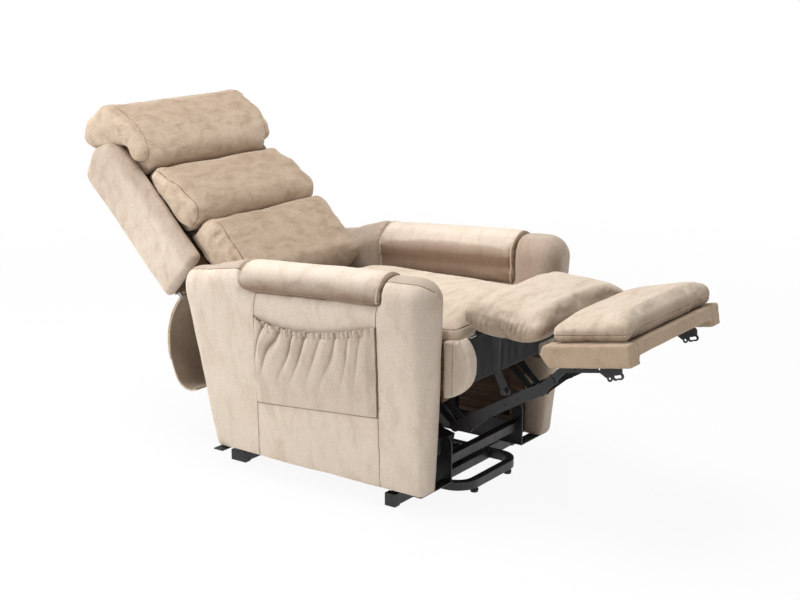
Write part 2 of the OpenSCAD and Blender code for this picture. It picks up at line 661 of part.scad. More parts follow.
module foot_board_cover() color(velour) at_foot() {
  both_sides() plate(foot_w / 2 - cheek_w, cheek_w)
    polygon([[-20, cheek_low], [-foot_len, cheek_low], [-foot_len, cheek_top], [-10, cheek_top], [1.5, cheek_low + 34]]);
  block([cheek_w - foot_w / 2, -foot_len, cheek_low + 22], [foot_w / 2 - cheek_w, 24 - foot_len, cheek_top]);
}
module foot_board() color(wood) at_foot()
  block([cheek_w - foot_w / 2, 24 - foot_len, cheek_top - 16], [foot_w / 2 - cheek_w, -14, cheek_top]);

module foot_pillow() color(velour_light) at_foot() hull() both_sides()
  for (x = [foot_w / 2 - 24, 60]) {
    translate([x, 26 - foot_len, cheek_top + foot_pillow_h - 26]) sphere(r = 24, $fn = 24);
    translate([x, 30 - foot_len, cheek_top + 0.5]) cylinder(h = 10, r = 16, $fn = 24);
    translate([x, -46, cheek_top + foot_pillow_h - 46]) sphere(r = 18, $fn = 24);
    translate([x, -44, cheek_top + 0.5]) cylinder(h = 16, r = 18, $fn = 24);
  }

// Flat arms under the foot board; each ends in a catch plate with a small eye and a longer loop.
module foot_bracket_arms() color(black_steel) at_foot() both_sides() {
  difference() {
    plate(bracket_layer_x, link_t) {
      bar([0, 0], [-40, cheek_low - 11], 22);
      bar([-40, cheek_low - 11], [-192, cheek_low - 11], 22);
      polygon([[-140, cheek_low - 20], [-158, cheek_low - 34], [-200, cheek_low - 34], [-203, cheek_low - 10]]);
      bar([-166, cheek_low - 33], [-166, cheek_low - 36], 14);
      bar([-182, cheek_low - 31], [-196, cheek_low - 29], 18);
    }
    cross_rod([0, 0], bracket_layer_x - 1, bracket_layer_x + link_t + 1, pin_r + pin_clear);
    cross_rod([-166, cheek_low - 35], bracket_layer_x - 1, bracket_layer_x + link_t + 1, 3.5);
    plate(bracket_layer_x - 1, link_t + 2) bar([-183, cheek_low - 31], [-195, cheek_low - 29.5], 9);
    for (y = [-70, -105, -140]) cross_rod([y, cheek_low - 11], bracket_layer_x - 1, bracket_layer_x + link_t + 1, 3);
  }
  block([bracket_layer_x + link_t, -190, cheek_low - 3], [bracket_layer_x + link_t + 22, -45, cheek_low]);
}

// ---- Leg pad ----
module leg_pad() color(velour_light) hull() both_sides() {
  y_rear = leg_pad_hinge[0];
  y_front = y_rear - leg_pad_len;
  for (x = [arm_in_x - 12 - 30, 80]) {
    translate([x, y_rear - 30, pad_low_z + leg_pad_h - 30]) sphere(r = 30, $fn = 24);
    translate([x, y_front + 30, pad_low_z + leg_pad_h - 34]) sphere(r = 30, $fn = 24);
    translate([x, y_rear - 24, pad_low_z]) cylinder(h = 10, r = 22, $fn = 24);
    translate([x, y_front + 24, pad_low_z + 22]) cylinder(h = 10, r = 22, $fn = 24);
    translate([x, y_front + 70, pad_low_z]) cylinder(h = 10, r = 22, $fn = 24);
  }
}

module leg_pad_board() color(dust_cloth) difference() {
  union() {
    cross_rod(leg_pad_hinge, 4 - drive_layer_x, drive_layer_x - 4, hinge_rod_r + 4);
    block([-drive_layer_x, leg_pad_hinge[0] - 190, pad_low_z - 6], [drive_layer_x, leg_pad_hinge[0], pad_low_z]);
    block([4 - drive_layer_x, leg_pad_hinge[0] - 4, leg_pad_hinge[1]], [drive_layer_x - 4, leg_pad_hinge[0] + 4, pad_low_z - 5]);
  }
  cross_rod(leg_pad_hinge, -drive_layer_x - 1, drive_layer_x + 1, hinge_rod_r + pin_clear);
}
module leg_pad_hinge_rod() color(zinc)
  cross_rod(leg_pad_hinge, 12 - rail_in_x, rail_in_x - 12, hinge_rod_r);

// ---- Motors of the leg rest and the back ----
module motor_mount_tubes() color(black_steel) {
  mount_tube(back_motor_foot, -18, -16, motor_x);
  mount_tube(leg_motor_foot, 20, -8, -motor_x);
}
// Tube across the seat frame, a step in y and a drop from the motor's pivot, with two ears and the pivot pin.
module mount_tube(p, step, drop, x) {
  y0 = p[0] + step - (step < 0 ? 24 : 0);
  block([-rail_in_x, y0, p[1] + drop], [rail_in_x, y0 + 24, p[1] + drop + 20]);
  for (s = [-1, 1]) translate([x + s * (clevis_in + link_t / 2) - link_t / 2, 0, 0])
    plate(0, link_t) bar(p, [p[0] + step, p[1]], 2 * ear_r - 8);
  cross_rod(p, x - clevis_in - link_t, x + clevis_in + link_t, pin_r);
}

module leg_motor() color(moulding) motor_body(-motor_x, leg_motor_foot, leg_motor_aim, 268);
module leg_motor_rod() color(zinc) push_rod(-motor_x, leg_motor_foot, leg_motor_aim, leg_lever_tip, 155);
module back_motor() color(moulding) motor_body(motor_x, back_motor_foot, back_motor_aim, 208);
module back_motor_rod() color(zinc) push_rod(motor_x, back_motor_foot, back_motor_aim, back_lever_tip, 120);

module control_box() color(moulding) difference() {
  block([rail_in_x - 48, 56, rail_bottom_z + 30], [rail_in_x, 186, rail_bottom_z + 104]);
  for (y = [76, 104, 132]) block([rail_in_x - 40, y, rail_bottom_z + 29], [rail_in_x - 22, y + 16, rail_bottom_z + 42]);
}

// ---- Reclining back: local frame at the hinge, +Z up the back, -Y towards the sitter ----
module at_back() translate([0, back_hinge[0], back_hinge[1]]) rotate([-recline_deg, 0, 0]) children();

module back_bearing_plates() color(black_steel) both_sides() difference() {
  plate(rail_in_x - 5, 5) bar(back_hinge, [back_hinge[0] - 30, back_hinge[1] - 20], 34);
  cross_rod(back_hinge, rail_in_x - 6, rail_in_x + 1, journal_r + pin_clear);
}

module back_torque_tube() color(black_steel) {
  cross_rod(back_hinge, 8 - rail_in_x, rail_in_x - 8, torque_tube_r);
  both_sides() cross_rod(back_hinge, rail_in_x - 8, rail_in_x - 0.5, journal_r);
  for (s = [-1, 1]) translate([motor_x + s * (lever_in + link_t / 2) - link_t / 2, 0, 0])
    plate(0, link_t) lever_profile(back_hinge, back_lever_tip);
  cross_rod(back_lever_tip, motor_x - lever_in, motor_x + lever_in, pin_r);
  at_back() both_sides() plate(rail_x - 6, 6) {
    bar([0, 0], [50, 50], 36);
    bar([50, 50], [50, 130], 40);
  }
}

module back_frame_rails() color(wood) at_back() both_sides()
  block([rail_x, 30, 26], [bolster_x, 72, back_len - 60]);
module back_cross_rails() color(wood) at_back()
  for (u = [156, 345, 560]) block([-rail_x, 34, u], [rail_x, 56, u + 60]);

module bolster_outline() polygon([[2, bolster_low], [bolster_d - 8, bolster_low], [bolster_d - 8, back_len - 25],
  [100, back_len + 3], [46, back_len - 17], [8, back_len - 80], [2, back_len - 125]]);
module back_bolsters() color(velour) at_back() both_sides() plate(bolster_x, bolster_t) bolster_outline();
module back_rear_panel() color(velour) at_back()
  block([5 - back_w / 2, bolster_d - 8, bolster_low], [back_w / 2 - 5, bolster_d, back_len - 25]);

// Soft roll across the back: its side outline raised over a width.
module pillow(half_w) at_back() plate(-half_w, 2 * half_w) difference() {
  children();
  if (half_w > bolster_x) offset(delta = 0.5) bolster_outline();
}
module roll_hoop(y, u, r) translate([y, u]) circle(r = r, $fn = 48);
module head_pillow() color(velour_light) pillow(back_w / 2) {
  hull() {
    roll_hoop(-14, back_len - 130, 38);
    roll_hoop(-21, back_len - 56, 49);
    roll_hoop(16, back_len - 161, 8);
  }
  hull() {
    roll_hoop(4, back_len + 22, 52);
    roll_hoop(62, back_len + 36, 44);
    roll_hoop(-21, back_len - 56, 49);
  }
}
module middle_pillow() color(velour_light) pillow(back_w / 2 - 20) hull() {
  roll_hoop(-43, back_len - 358, 48);
  roll_hoop(-10, back_len - 211, 36);
  for (u = [back_len - 391, back_len - 184]) roll_hoop(16, u, 8);
}
module lumbar_pillow() color(velour_light) pillow(bolster_x - 6) hull() {
  roll_hoop(-44, 122, 56);
  roll_hoop(-50, back_len - 463, 52);
  for (u = [76, back_len - 421]) roll_hoop(16, u, 8);
}

module skirt_rod() color(zinc) at_back() {
  cross_rod([skirt_hinge_back, skirt_hinge_up], -skirt_half_w - 6, skirt_half_w + 6, hinge_rod_r);
  both_sides() plate(skirt_half_w + 1, 5) translate([skirt_hinge_back - 5, skirt_hinge_up - 5])
    square([12, bolster_low - skirt_hinge_up + 5]);
}
// Hanging rear skirt: a padded flap that bulges rearward and curls in at its lower end.
module rear_skirt() color(velour) difference() {
  plate(-skirt_half_w, 2 * skirt_half_w) {
    translate(skirt_top) circle(r = hinge_rod_r + 4, $fn = 40);
    translate(skirt_top + [-154, -154]) {
      arc_strip(222, skirt_t, -30, 44);
      translate([(222 - 60) * cos(30), -(222 - 60) * sin(30)]) arc_strip(60, skirt_t, -120, -30);
    }
  }
  cross_rod(skirt_top, -skirt_half_w - 1, skirt_half_w + 1, hinge_rod_r + pin_clear);
}
// Strip of thickness t inside radius r, from angle a to angle b.
module arc_strip(r, t, a, b) intersection() {
  difference() {
    circle(r = r, $fn = 160);
    circle(r = r - t, $fn = 160);
  }
  polygon([[0, 0], for (i = [0:6]) 2 * r * [cos(a + (b - a) * i / 6), sin(a + (b - a) * i / 6)]]);
}

base_front_loop();
base_side_rails();
front_floor_bar();
rear_floor_bar();
floor_bar_end_caps();
rubber_glides();
base_pivot_ears();
base_pivot_pins();
rear_lift_arms();
front_lift_arms();
lift_motor();
lift_motor_rod();
lift_side_plates();
lift_cross_tubes();
lift_pivot_brackets();
arm_support_flats();
lift_frame_pins();
seat_side_rails();
seat_cross_rails();
seat_front_pads();
front_dust_cloth();
seat_springs();
seat_cushion();
arm_side_frames();
left_arm_cover();
right_arm_cover();
arm_top_pads();
side_pocket();
leg_mechanism_plates();
leg_mechanism_pins();
motor_mount_tubes();
back_bearing_plates();
control_box();
leg_drive_links();
leg_guide_links();
leg_long_links();
leg_link_pins();
pad_struts();
foot_board();
foot_board_cover();
foot_pillow();
foot_bracket_arms();
leg_pad();
leg_pad_board();
leg_pad_hinge_rod();
leg_motor();
leg_motor_rod();
back_torque_tube();
back_frame_rails();
back_cross_rails();
back_bolsters();
back_rear_panel();
head_pillow();
middle_pillow();
lumbar_pillow();
skirt_rod();
rear_skirt();
back_motor();
back_motor_rod();
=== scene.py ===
import math

import bmesh
import bpy
from mathutils import Matrix, Vector, noise
from mathutils.bvhtree import BVHTree


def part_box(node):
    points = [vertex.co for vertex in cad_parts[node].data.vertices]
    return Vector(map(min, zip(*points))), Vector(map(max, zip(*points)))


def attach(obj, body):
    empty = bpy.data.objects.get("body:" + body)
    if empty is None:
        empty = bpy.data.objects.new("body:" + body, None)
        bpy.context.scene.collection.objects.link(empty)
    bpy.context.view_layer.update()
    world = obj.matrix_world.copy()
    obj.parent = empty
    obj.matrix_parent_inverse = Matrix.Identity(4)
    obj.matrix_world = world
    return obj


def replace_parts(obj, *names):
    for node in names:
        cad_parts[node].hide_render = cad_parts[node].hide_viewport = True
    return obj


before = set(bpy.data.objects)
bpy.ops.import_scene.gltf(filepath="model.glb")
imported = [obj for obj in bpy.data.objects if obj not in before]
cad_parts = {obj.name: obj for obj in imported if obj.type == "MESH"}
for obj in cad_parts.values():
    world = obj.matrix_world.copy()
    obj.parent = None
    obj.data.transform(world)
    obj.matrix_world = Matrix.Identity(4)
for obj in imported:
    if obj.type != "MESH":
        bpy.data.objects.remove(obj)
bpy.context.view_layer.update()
scene = bpy.context.scene
scene.view_settings.view_transform = "Standard"


# ---- Studio ----
# A pale floor, a white surround and three soft boxes: one overhead, one behind the near arm
# and a weaker one at the foot end. The camera looks down a little from beyond the near arm.
def colour(hex_code):
    """Written colour to the linear values that a socket takes."""
    parts = [int(hex_code[i : i + 2], 16) / 255 for i in (1, 3, 5)]
    return tuple(c / 12.92 if c <= 0.04045 else ((c + 0.055) / 1.055) ** 2.4 for c in parts) + (1.0,)


def add_node(tree, kind, *numbered, **named):
    """Adds a node with its settings and links. Numbered values are (socket number, value) pairs;
    a named one is for a socket, with _ for a space, or for a setting of the node. A node given as
    a value is linked by its first output. Stops are a ramp's (place, colour or grey) pairs. A
    pattern's scale is per metre: 1000 divided by its size in millimetres."""
    node = tree.nodes.new("ShaderNode" + kind)
    for name, value in [*named.items(), *numbered]:
        socket = node.inputs[name] if isinstance(name, int) else node.inputs.get(name.replace("_", " "))
        if isinstance(value, bpy.types.Node):
            value = value.outputs[0]
        if name == "stops":
            elements = node.color_ramp.elements
            while len(elements) < len(value):
                elements.new(0.5)
            for element, (position, tone) in zip(elements, value):
                element.position = position
                element.color = colour(tone) if isinstance(tone, str) else (tone, tone, tone, 1)
        elif isinstance(value, bpy.types.NodeSocket):
            tree.links.new(value, socket)
        elif socket is not None:
            socket.default_value = colour(value) if isinstance(value, str) else value
        else:
            setattr(node, name, value)
    return node


def new_material(name):
    """An empty material and its node tree."""
    material = bpy.data.materials.new(name)
    material.use_nodes = True
    material.node_tree.nodes.clear()
    return material, material.node_tree


camera = bpy.data.objects.new("camera", bpy.data.cameras.new("camera"))
scene.collection.objects.link(camera)
camera.data.sensor_width = 36.0
camera.data.lens = 66.94
azimuth, elevation = math.radians(-54.34), math.radians(14.24)
level = math.cos(elevation)
towards_camera = Vector((math.sin(azimuth) * level, -math.cos(azimuth) * level, math.sin(elevation)))
camera.location = (-3.3423, -2.455, 1.5253)
camera.rotation_euler = (-towards_camera).to_track_quat("-Z", "Y").to_euler()
scene.camera = camera


def soft_box(name, place, aim, size, power):
    """A square soft light of this size in metres and power in watts, turned to its aim."""
    lamp = bpy.data.objects.new(name, bpy.data.lights.new(name, "AREA"))
    lamp.data.shape = "SQUARE"
    lamp.data.size = size
    lamp.data.energy = power
    lamp.location = place
    lamp.rotation_euler = (Vector(aim) - Vector(place)).to_track_quat("-Z", "Y").to_euler()
    scene.collection.objects.link(lamp)


soft_box("overhead_box", (-0.3, 0.5, 3.2), (0, 0, 0.4), 2.2, 86)
soft_box("side_box", (-2.6, 2.7, 1.8), (0, 0, 0.5), 1.2, 68)
soft_box("foot_box", (-1.0, -3.8, 1.2), (0, 0, 0.4), 2.0, 20)


def seen_directly(tree):
    """1 where the camera, a mirror or clear glass looks at it, 0 where it only lights the chair."""
    rays = add_node(tree, "LightPath").outputs
    some = add_node(tree, "Math", (0, rays["Is Camera Ray"]), (1, rays["Is Glossy Ray"]), operation="MAXIMUM")
    return add_node(tree, "Math", (0, some), (1, rays["Is Transmission Ray"]), operation="MAXIMUM")


world = bpy.data.worlds.new("surround")
world.use_nodes = True
scene.world = world
tree = world.node_tree
tree.nodes.clear()
ambient = add_node(tree, "Background", Color="#ffffff", Strength=0.33)
shown = add_node(tree, "Background", Color="#ffffff", Strength=1.0)
either = add_node(tree, "MixShader", (1, ambient), (2, shown), Fac=seen_directly(tree))
add_node(tree, "OutputWorld", Surface=either)

# Matt painted floor that holds the chair's shadow and fades to pure white 1.2 to 4 m away.
floor_finish, tree = new_material("pale_floor")
paint = add_node(tree, "BsdfDiffuse", Color="#f4f3f1")
white = add_node(tree, "Emission", Color="#ffffff", Strength=1.0)
at = add_node(tree, "TexCoord").outputs["Object"]
away = add_node(tree, "VectorMath", (0, at), operation="LENGTH").outputs["Value"]
fade = add_node(tree, "MapRange", Value=away, From_Min=1.2, From_Max=4.0, To_Min=0.92, To_Max=1.0)
whiteness = add_node(tree, "Math", (0, seen_directly(tree)), (1, fade), operation="MULTIPLY")
mixed = add_node(tree, "MixShader", (1, paint), (2, white), Fac=whiteness)
add_node(tree, "OutputMaterial", Surface=mixed)

bm = bmesh.new()
bmesh.ops.create_grid(bm, x_segments=1, y_segments=1, size=45)
mesh = bpy.data.meshes.new("floor")
bm.to_mesh(mesh)
bm.free()
mesh.materials.append(floor_finish)
floor = bpy.data.objects.new("floor", mesh)
floor.location.z = -0.0005
scene.collection.objects.link(floor)


# ---- Floor base ----
# Two flat tubes and a bent front loop, welded to two cross bars, all in black powder-coated
# steel. Moulded caps close the bar ends and the loop stands on two rubber glides.
def dress(material, *nodes):
    """Gives carried-over steel, wood or plastic parts their finish."""
    for node in nodes:
        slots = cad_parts[node].data.materials
        slots.clear()
        slots.append(material)


# Semi-gloss powder coat baked on steel: faint dust in 70 mm patches, slightly polished places,
# and orange peel drawn at 1.1 mm, coarser than it is, so that it shows.
black_steel, tree = new_material("black_powder_coat")
at = add_node(tree, "TexCoord").outputs["Object"]
dust = add_node(tree, "TexNoise", Vector=at, Scale=14, Detail=5, Roughness=0.65)
polish = add_node(tree, "TexNoise", Vector=at, Scale=30, Detail=4, Roughness=0.55)
peel = add_node(tree, "TexNoise", Vector=at, Scale=900, Detail=2, Roughness=0.55)
coat = add_node(
    tree,
    "BsdfPrincipled",
    Base_Color=add_node(tree, "ValToRGB", Fac=dust, stops=[(0.35, "#0f0f10"), (0.7, "#1d1d1f")]),
    Roughness=add_node(tree, "ValToRGB", Fac=polish, stops=[(0.3, 0.34), (0.75, 0.52)]),
    Normal=add_node(tree, "Bump", Height=peel, Distance=0.00025, Strength=0.6),
)
add_node(tree, "OutputMaterial", Surface=coat)


def moulded(name, low, high, rough, grain):
    """Moulded plastic or rubber: worn patches, and a spark-eroded grain of so many pits a metre,
    drawn at 0.7 to 1.4 mm, coarser than it is, so that it shows."""
    material, tree = new_material(name)
    at = add_node(tree, "TexCoord").outputs["Object"]
    cloud = add_node(tree, "TexNoise", Vector=at, Scale=22, Detail=4, Roughness=0.55)
    wear = add_node(tree, "TexNoise", Vector=at, Scale=60, Detail=3, Roughness=0.55)
    pits = add_node(tree, "TexNoise", Vector=at, Scale=grain, Detail=2, Roughness=0.55)
    shell = add_node(
        tree,
        "BsdfPrincipled",
        Base_Color=add_node(tree, "ValToRGB", Fac=cloud, stops=[(0.3, low), (0.75, high)]),
        Roughness=add_node(tree, "ValToRGB", Fac=wear, stops=[(0.3, rough - 0.06), (0.7, rough + 0.08)]),
        Normal=add_node(tree, "Bump", Height=pits, Distance=0.0002, Strength=0.7),
    )
    add_node(tree, "OutputMaterial", Surface=shell)
    return material


# Bright zinc plating, slightly clouded, over lines left by drawing: 25 mm long, 1.1 mm apart.
zinc, tree = new_material("zinc_plate")
at = add_node(tree, "TexCoord").outputs["Object"]
cloud = add_node(tree, "TexNoise", Vector=at, Scale=45, Detail=5, Roughness=0.6)
drawn = add_node(tree, "Mapping", Vector=at, Scale=(40, 900, 900))
lines = add_node(tree, "TexNoise", Vector=drawn, Scale=1.0, Detail=3, Roughness=0.55)
plating = add_node(
    tree,
    "BsdfPrincipled",
    Base_Color=add_node(tree, "ValToRGB", Fac=cloud, stops=[(0.3, "#8d8c86"), (0.7, "#bdbbb2")]),
    Metallic=1.0,
    Roughness=add_node(tree, "ValToRGB", Fac=cloud, stops=[(0.3, 0.26), (0.75, 0.46)]),
    Normal=add_node(tree, "Bump", Height=lines, Distance=0.0001, Strength=0.4),
)
add_node(tree, "OutputMaterial", Surface=plating)

black_plastic = moulded("black_moulding", "#151516", "#232325", 0.48, 1400)
rubber = moulded("rubber", "#0e0e0e", "#1b1b1b", 0.78, 700)
base_steel = ("base_front_loop", "base_side_rails", "front_floor_bar", "rear_floor_bar", "base_pivot_ears")
dress(black_steel, *base_steel)
dress(black_plastic, "floor_bar_end_caps")
dress(rubber, "rubber_glides")
dress(zinc, "base_pivot_pins")


# ---- Lift linkage and chassis ----
# Black powder-coated arms, side plates and cross tubes that raise and tip the chair; plated
# pins and push rod, and the motor in its moulded housing.
dress(
    black_steel,
    "rear_lift_arms",
    "front_lift_arms",
    "lift_side_plates",
    "lift_cross_tubes",
    "lift_pivot_brackets",
    "arm_support_flats",
    "motor_mount_tubes",
    "back_bearing_plates",
)
dress(zinc, "lift_frame_pins", "lift_motor_rod")
dress(black_plastic, "lift_motor", "control_box")


# ---- Seat frame ----
# Pine rails joined by cross rails, zig-zag springs clipped between them, and a black
# non-woven cloth stapled over the open front.
def plank(name, along):
    """Sawn pine: 17 mm growth rings stretched along the board, 1.4 mm pores and a little soiling."""
    material, tree = new_material(name)
    at = add_node(tree, "TexCoord").outputs["Object"]
    scale = {"x": (3, 60, 60), "y": (60, 3, 60), "z": (60, 60, 3)}[along]
    grown = add_node(tree, "Mapping", Vector=at, Scale=scale)
    rings = add_node(tree, "TexNoise", Vector=grown, Scale=1.0, Detail=6, Roughness=0.6, Distortion=1.2)
    fine = add_node(tree, "Mapping", Vector=at, Scale=tuple(12 * s for s in scale))
    pores = add_node(tree, "TexNoise", Vector=fine, Scale=1.0, Detail=3, Roughness=0.55)
    soil = add_node(tree, "TexNoise", Vector=at, Scale=7, Detail=4, Roughness=0.55)
    # These browns are darker than bare pine: painted shade, for a frame seen only in shade under its covers.
    wood = [(0.32, "#35271b"), (0.48, "#594030"), (0.62, "#725740")]
    grain = add_node(tree, "ValToRGB", Fac=rings, stops=wood)
    soiled = add_node(tree, "ValToRGB", Fac=soil, stops=[(0.4, 0.0), (0.8, 0.45)])
    tone = add_node(tree, "Mix", (0, soiled), (6, grain), (7, "#2b1f16"), data_type="RGBA")
    board = add_node(
        tree,
        "BsdfPrincipled",
        Base_Color=tone.outputs[2],
        Roughness=add_node(tree, "ValToRGB", Fac=pores, stops=[(0.3, 0.62), (0.7, 0.84)]),
        Normal=add_node(tree, "Bump", Height=pores, Distance=0.0004, Strength=0.5),
    )
    add_node(tree, "OutputMaterial", Surface=board)
    return material


pine_long = plank("pine_lengthways", "y")
pine_cross = plank("pine_crossways", "x")
pine_upright = plank("pine_upright", "z")
dress(pine_long, "seat_side_rails", "arm_side_frames")
dress(pine_cross, "seat_cross_rails", "back_cross_rails", "foot_board")
dress(pine_upright, "back_frame_rails")
dress(zinc, "seat_springs")


def point(x, y, z):
    """A place given in millimetres."""
    return Vector((x, y, z)) / 1000


def clamped(value):
    """A share kept between 0 and 1."""
    return min(1, max(0, value))


def piece_from(bm, name, *materials):
    """Makes the finished mesh an object at the origin."""
    bmesh.ops.recalc_face_normals(bm, faces=bm.faces)
    mesh = bpy.data.meshes.new(name)
    bm.to_mesh(mesh)
    bm.free()
    for material in materials:
        mesh.materials.append(material)
    mesh.shade_smooth()
    piece = bpy.data.objects.new(name, mesh)
    scene.collection.objects.link(piece)
    return piece


def settle(piece):
    """Applies whatever modifiers the piece has."""
    settled = bpy.data.meshes.new_from_object(piece.evaluated_get(bpy.context.evaluated_depsgraph_get()))
    piece.modifiers.clear()
    old, piece.data = piece.data, settled
    bpy.data.meshes.remove(old)
    settled.shade_smooth()


# Black spun polypropylene: felted fibres in 2.4 mm clumps between pressed dots 3.8 mm apart.
black_cloth, tree = new_material("black_non_woven")
at = add_node(tree, "TexCoord").outputs["Object"]
fibres = add_node(tree, "TexNoise", Vector=at, Scale=420, Detail=6, Roughness=0.75, Distortion=0.8)
dots = add_node(tree, "TexVoronoi", Vector=at, Scale=260.0)
felt = add_node(tree, "Mix", (0, 0.5), (6, fibres), (7, dots), data_type="RGBA")
spun = add_node(
    tree,
    "BsdfPrincipled",
    Base_Color=add_node(tree, "ValToRGB", Fac=fibres, stops=[(0.3, "#17171a"), (0.7, "#2c2c30")]),
    Roughness=0.95,
    Sheen_Weight=0.15,
    Normal=add_node(tree, "Bump", Height=felt.outputs[2], Distance=0.0004, Strength=0.6),
)
add_node(tree, "OutputMaterial", Surface=spun)

low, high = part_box("front_dust_cloth")
slack, cloth_thickness = 0.0022, 0.0008
bm = bmesh.new()
upright = Matrix.Rotation(math.pi / 2, 4, "X")
bmesh.ops.create_grid(bm, x_segments=150, y_segments=30, size=0.5, matrix=upright)
for vert in bm.verts:
    across, up = vert.co.x, vert.co.z + 0.5
    vert.co = Vector(((low.x + high.x) / 2 + across * (high.x - low.x), 0, low.z + up * (high.z - low.z)))
    fold = noise.noise(Vector((vert.co.x * 38, 0.3, up * 0.9)))
    fold += 0.5 * noise.noise(Vector((vert.co.x * 90, 2, up * 2)))
    stapled = min(up, 1 - up, 0.5 - abs(across)) * 6
    vert.co.y = (low.y + high.y) / 2 - 0.0015 + slack * fold * clamped(stapled)
dust_cloth = piece_from(bm, "front_cloth", black_cloth)
dust_cloth.modifiers.new("cloth_thickness", "SOLIDIFY").thickness = cloth_thickness
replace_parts(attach(dust_cloth, "chassis"), "front_dust_cloth")


# ---- Seat cushion ----
# Foam block in a velour cover, crowned across its width and rolled over at the front; it
# lies on the springs between the arms.
def velour(name, brushed, mottle, light, middle, dark):
    """Short-pile velour: brushed is how many marks of the hand lie in a metre along x, y and z,
    and mottle how strongly they stand out. The pile's tips give a soft sheen and a fine grain,
    drawn at 1.1 and 3.8 mm, coarser than it is, so that it shows. A piece's painted shade darkens it."""
    material, tree = new_material(name)
    at = add_node(tree, "TexCoord").outputs["Object"]
    stroked = add_node(tree, "Mapping", Vector=at, Scale=brushed)
    marks = add_node(tree, "TexNoise", Vector=stroked, Scale=1.0, Detail=6, Roughness=0.68, Distortion=0.4)
    coarse = add_node(tree, "TexNoise", Vector=at, Scale=260, Detail=2, Roughness=0.6)
    fine = add_node(tree, "TexNoise", Vector=at, Scale=900, Detail=2, Roughness=0.6)
    grain = add_node(tree, "Mix", (0, 0.5), (6, coarse), (7, fine), data_type="RGBA").outputs[2]
    span = 0.24 / mottle
    tones = [(0.5 - span, dark), (0.5, middle), (0.5 + span, light)]
    shade = add_node(tree, "ValToRGB", Fac=marks, stops=tones)
    hollows = add_node(tree, "ValToRGB", Fac=grain, stops=[(0.38, 0.42), (0.62, 0.0)])
    flecked = add_node(tree, "Mix", (0, hollows), (6, shade), (7, dark), data_type="RGBA").outputs[2]
    # Painted shade: each piece's shade attribute draws the colour towards a darker brown.
    painted_shade = add_node(tree, "Attribute", attribute_name="shade").outputs["Fac"]
    parts = ((0, painted_shade), (6, flecked), (7, "#8b7360"))
    pile = add_node(
        tree,
        "BsdfPrincipled",
        Base_Color=add_node(tree, "Mix", *parts, data_type="RGBA", blend_type="MULTIPLY").outputs[2],
        Roughness=0.92,
        Specular_IOR_Level=0.12,
        Sheen_Weight=0.35,
        Sheen_Roughness=0.4,
        Sheen_Tint="#fff6ea",
        Normal=add_node(tree, "Bump", Height=grain, Distance=0.0008, Strength=0.3),
    )
    add_node(tree, "OutputMaterial", Surface=pile)
    return material


def wrapped(bm, stations, place=Matrix()):
    """Closed form pulled tight round hoops: each station is (x, [(y, z, radius), ...]) in millimetres."""
    old = set(bm.verts)
    for x, hoops in stations:
        for y, z, radius in hoops:
            turn = Matrix.Translation(point(x, y, z)) @ Matrix.Rotation(math.pi / 2, 4, "Y")
            bmesh.ops.create_circle(bm, segments=28, radius=radius / 1000, matrix=place @ turn)
    hull = bmesh.ops.convex_hull(bm, input=[v for v in bm.verts if v not in old])
    inner = {g for g in hull["geom_interior"] + hull["geom_unused"] if isinstance(g, bmesh.types.BMVert)}
    bmesh.ops.delete(bm, geom=list(inner - old), context="VERTS")


def mirrored(stations):
    return stations + [(-x, hoops) for x, hoops in stations]


def skin(piece, size):
    """Gives a closed piece one even skin of small quads, size in millimetres."""
    remesh = piece.modifiers.new("even_skin", "REMESH")
    remesh.mode = "VOXEL"
    remesh.voxel_size = size / 1000
    settle(piece)


filled_at = 20  # frames until a cover stops swelling


def stuff(piece, swell):
    """Fills the cover: cloth under pressure, each point held to within swell millimetres."""
    cover = piece.modifiers.new("cover", "CLOTH")
    cover.settings.quality = 4
    cover.settings.use_pressure = True
    cover.settings.uniform_pressure_force = 4.0
    cover.settings.effector_weights.gravity = 0
    cover.point_cache.frame_start = 1
    cover.point_cache.frame_end = filled_at
    for step in range(1, filled_at + 1):
        scene.frame_set(step)
    filled = piece.evaluated_get(bpy.context.evaluated_depsgraph_get()).data
    for vert, target in zip(piece.data.vertices, [v.co.copy() for v in filled.vertices]):
        move, most = target - vert.co, swell / 1000
        if move.length > most:
            move *= most / move.length
        vert.co += move
    piece.modifiers.clear()
    scene.frame_set(1)


def rework(piece):
    """Takes a piece's mesh to the bench."""
    bm = bmesh.new()
    bm.from_mesh(piece.data)
    return bm


def done(bm, piece):
    """Puts a reworked mesh back on its piece."""
    bm.normal_update()
    bm.to_mesh(piece.data)
    bm.free()
    piece.data.shade_smooth()


def shade_of(bm):
    """The cover's painted shade, kept on its points: 0 for none, 1 in a stitch line."""
    return bm.verts.layers.float.get("shade") or bm.verts.layers.float.new("shade")


def paint_shade_turned_away(bm, most):
    """Paints shade into the cover wherever it turns away from above, the more the further it turns."""
    shade = shade_of(bm)
    bm.normal_update()
    for vert in bm.verts:
        vert[shade] = max(vert[shade], most * clamped((0.84 - vert.normal.z) / 0.9))


def ease(bm, times):
    """Softens a cover's corners."""
    for _ in range(times):
        bmesh.ops.smooth_vert(bm, verts=bm.verts, factor=0.5, use_axis_x=True, use_axis_y=True, use_axis_z=True)


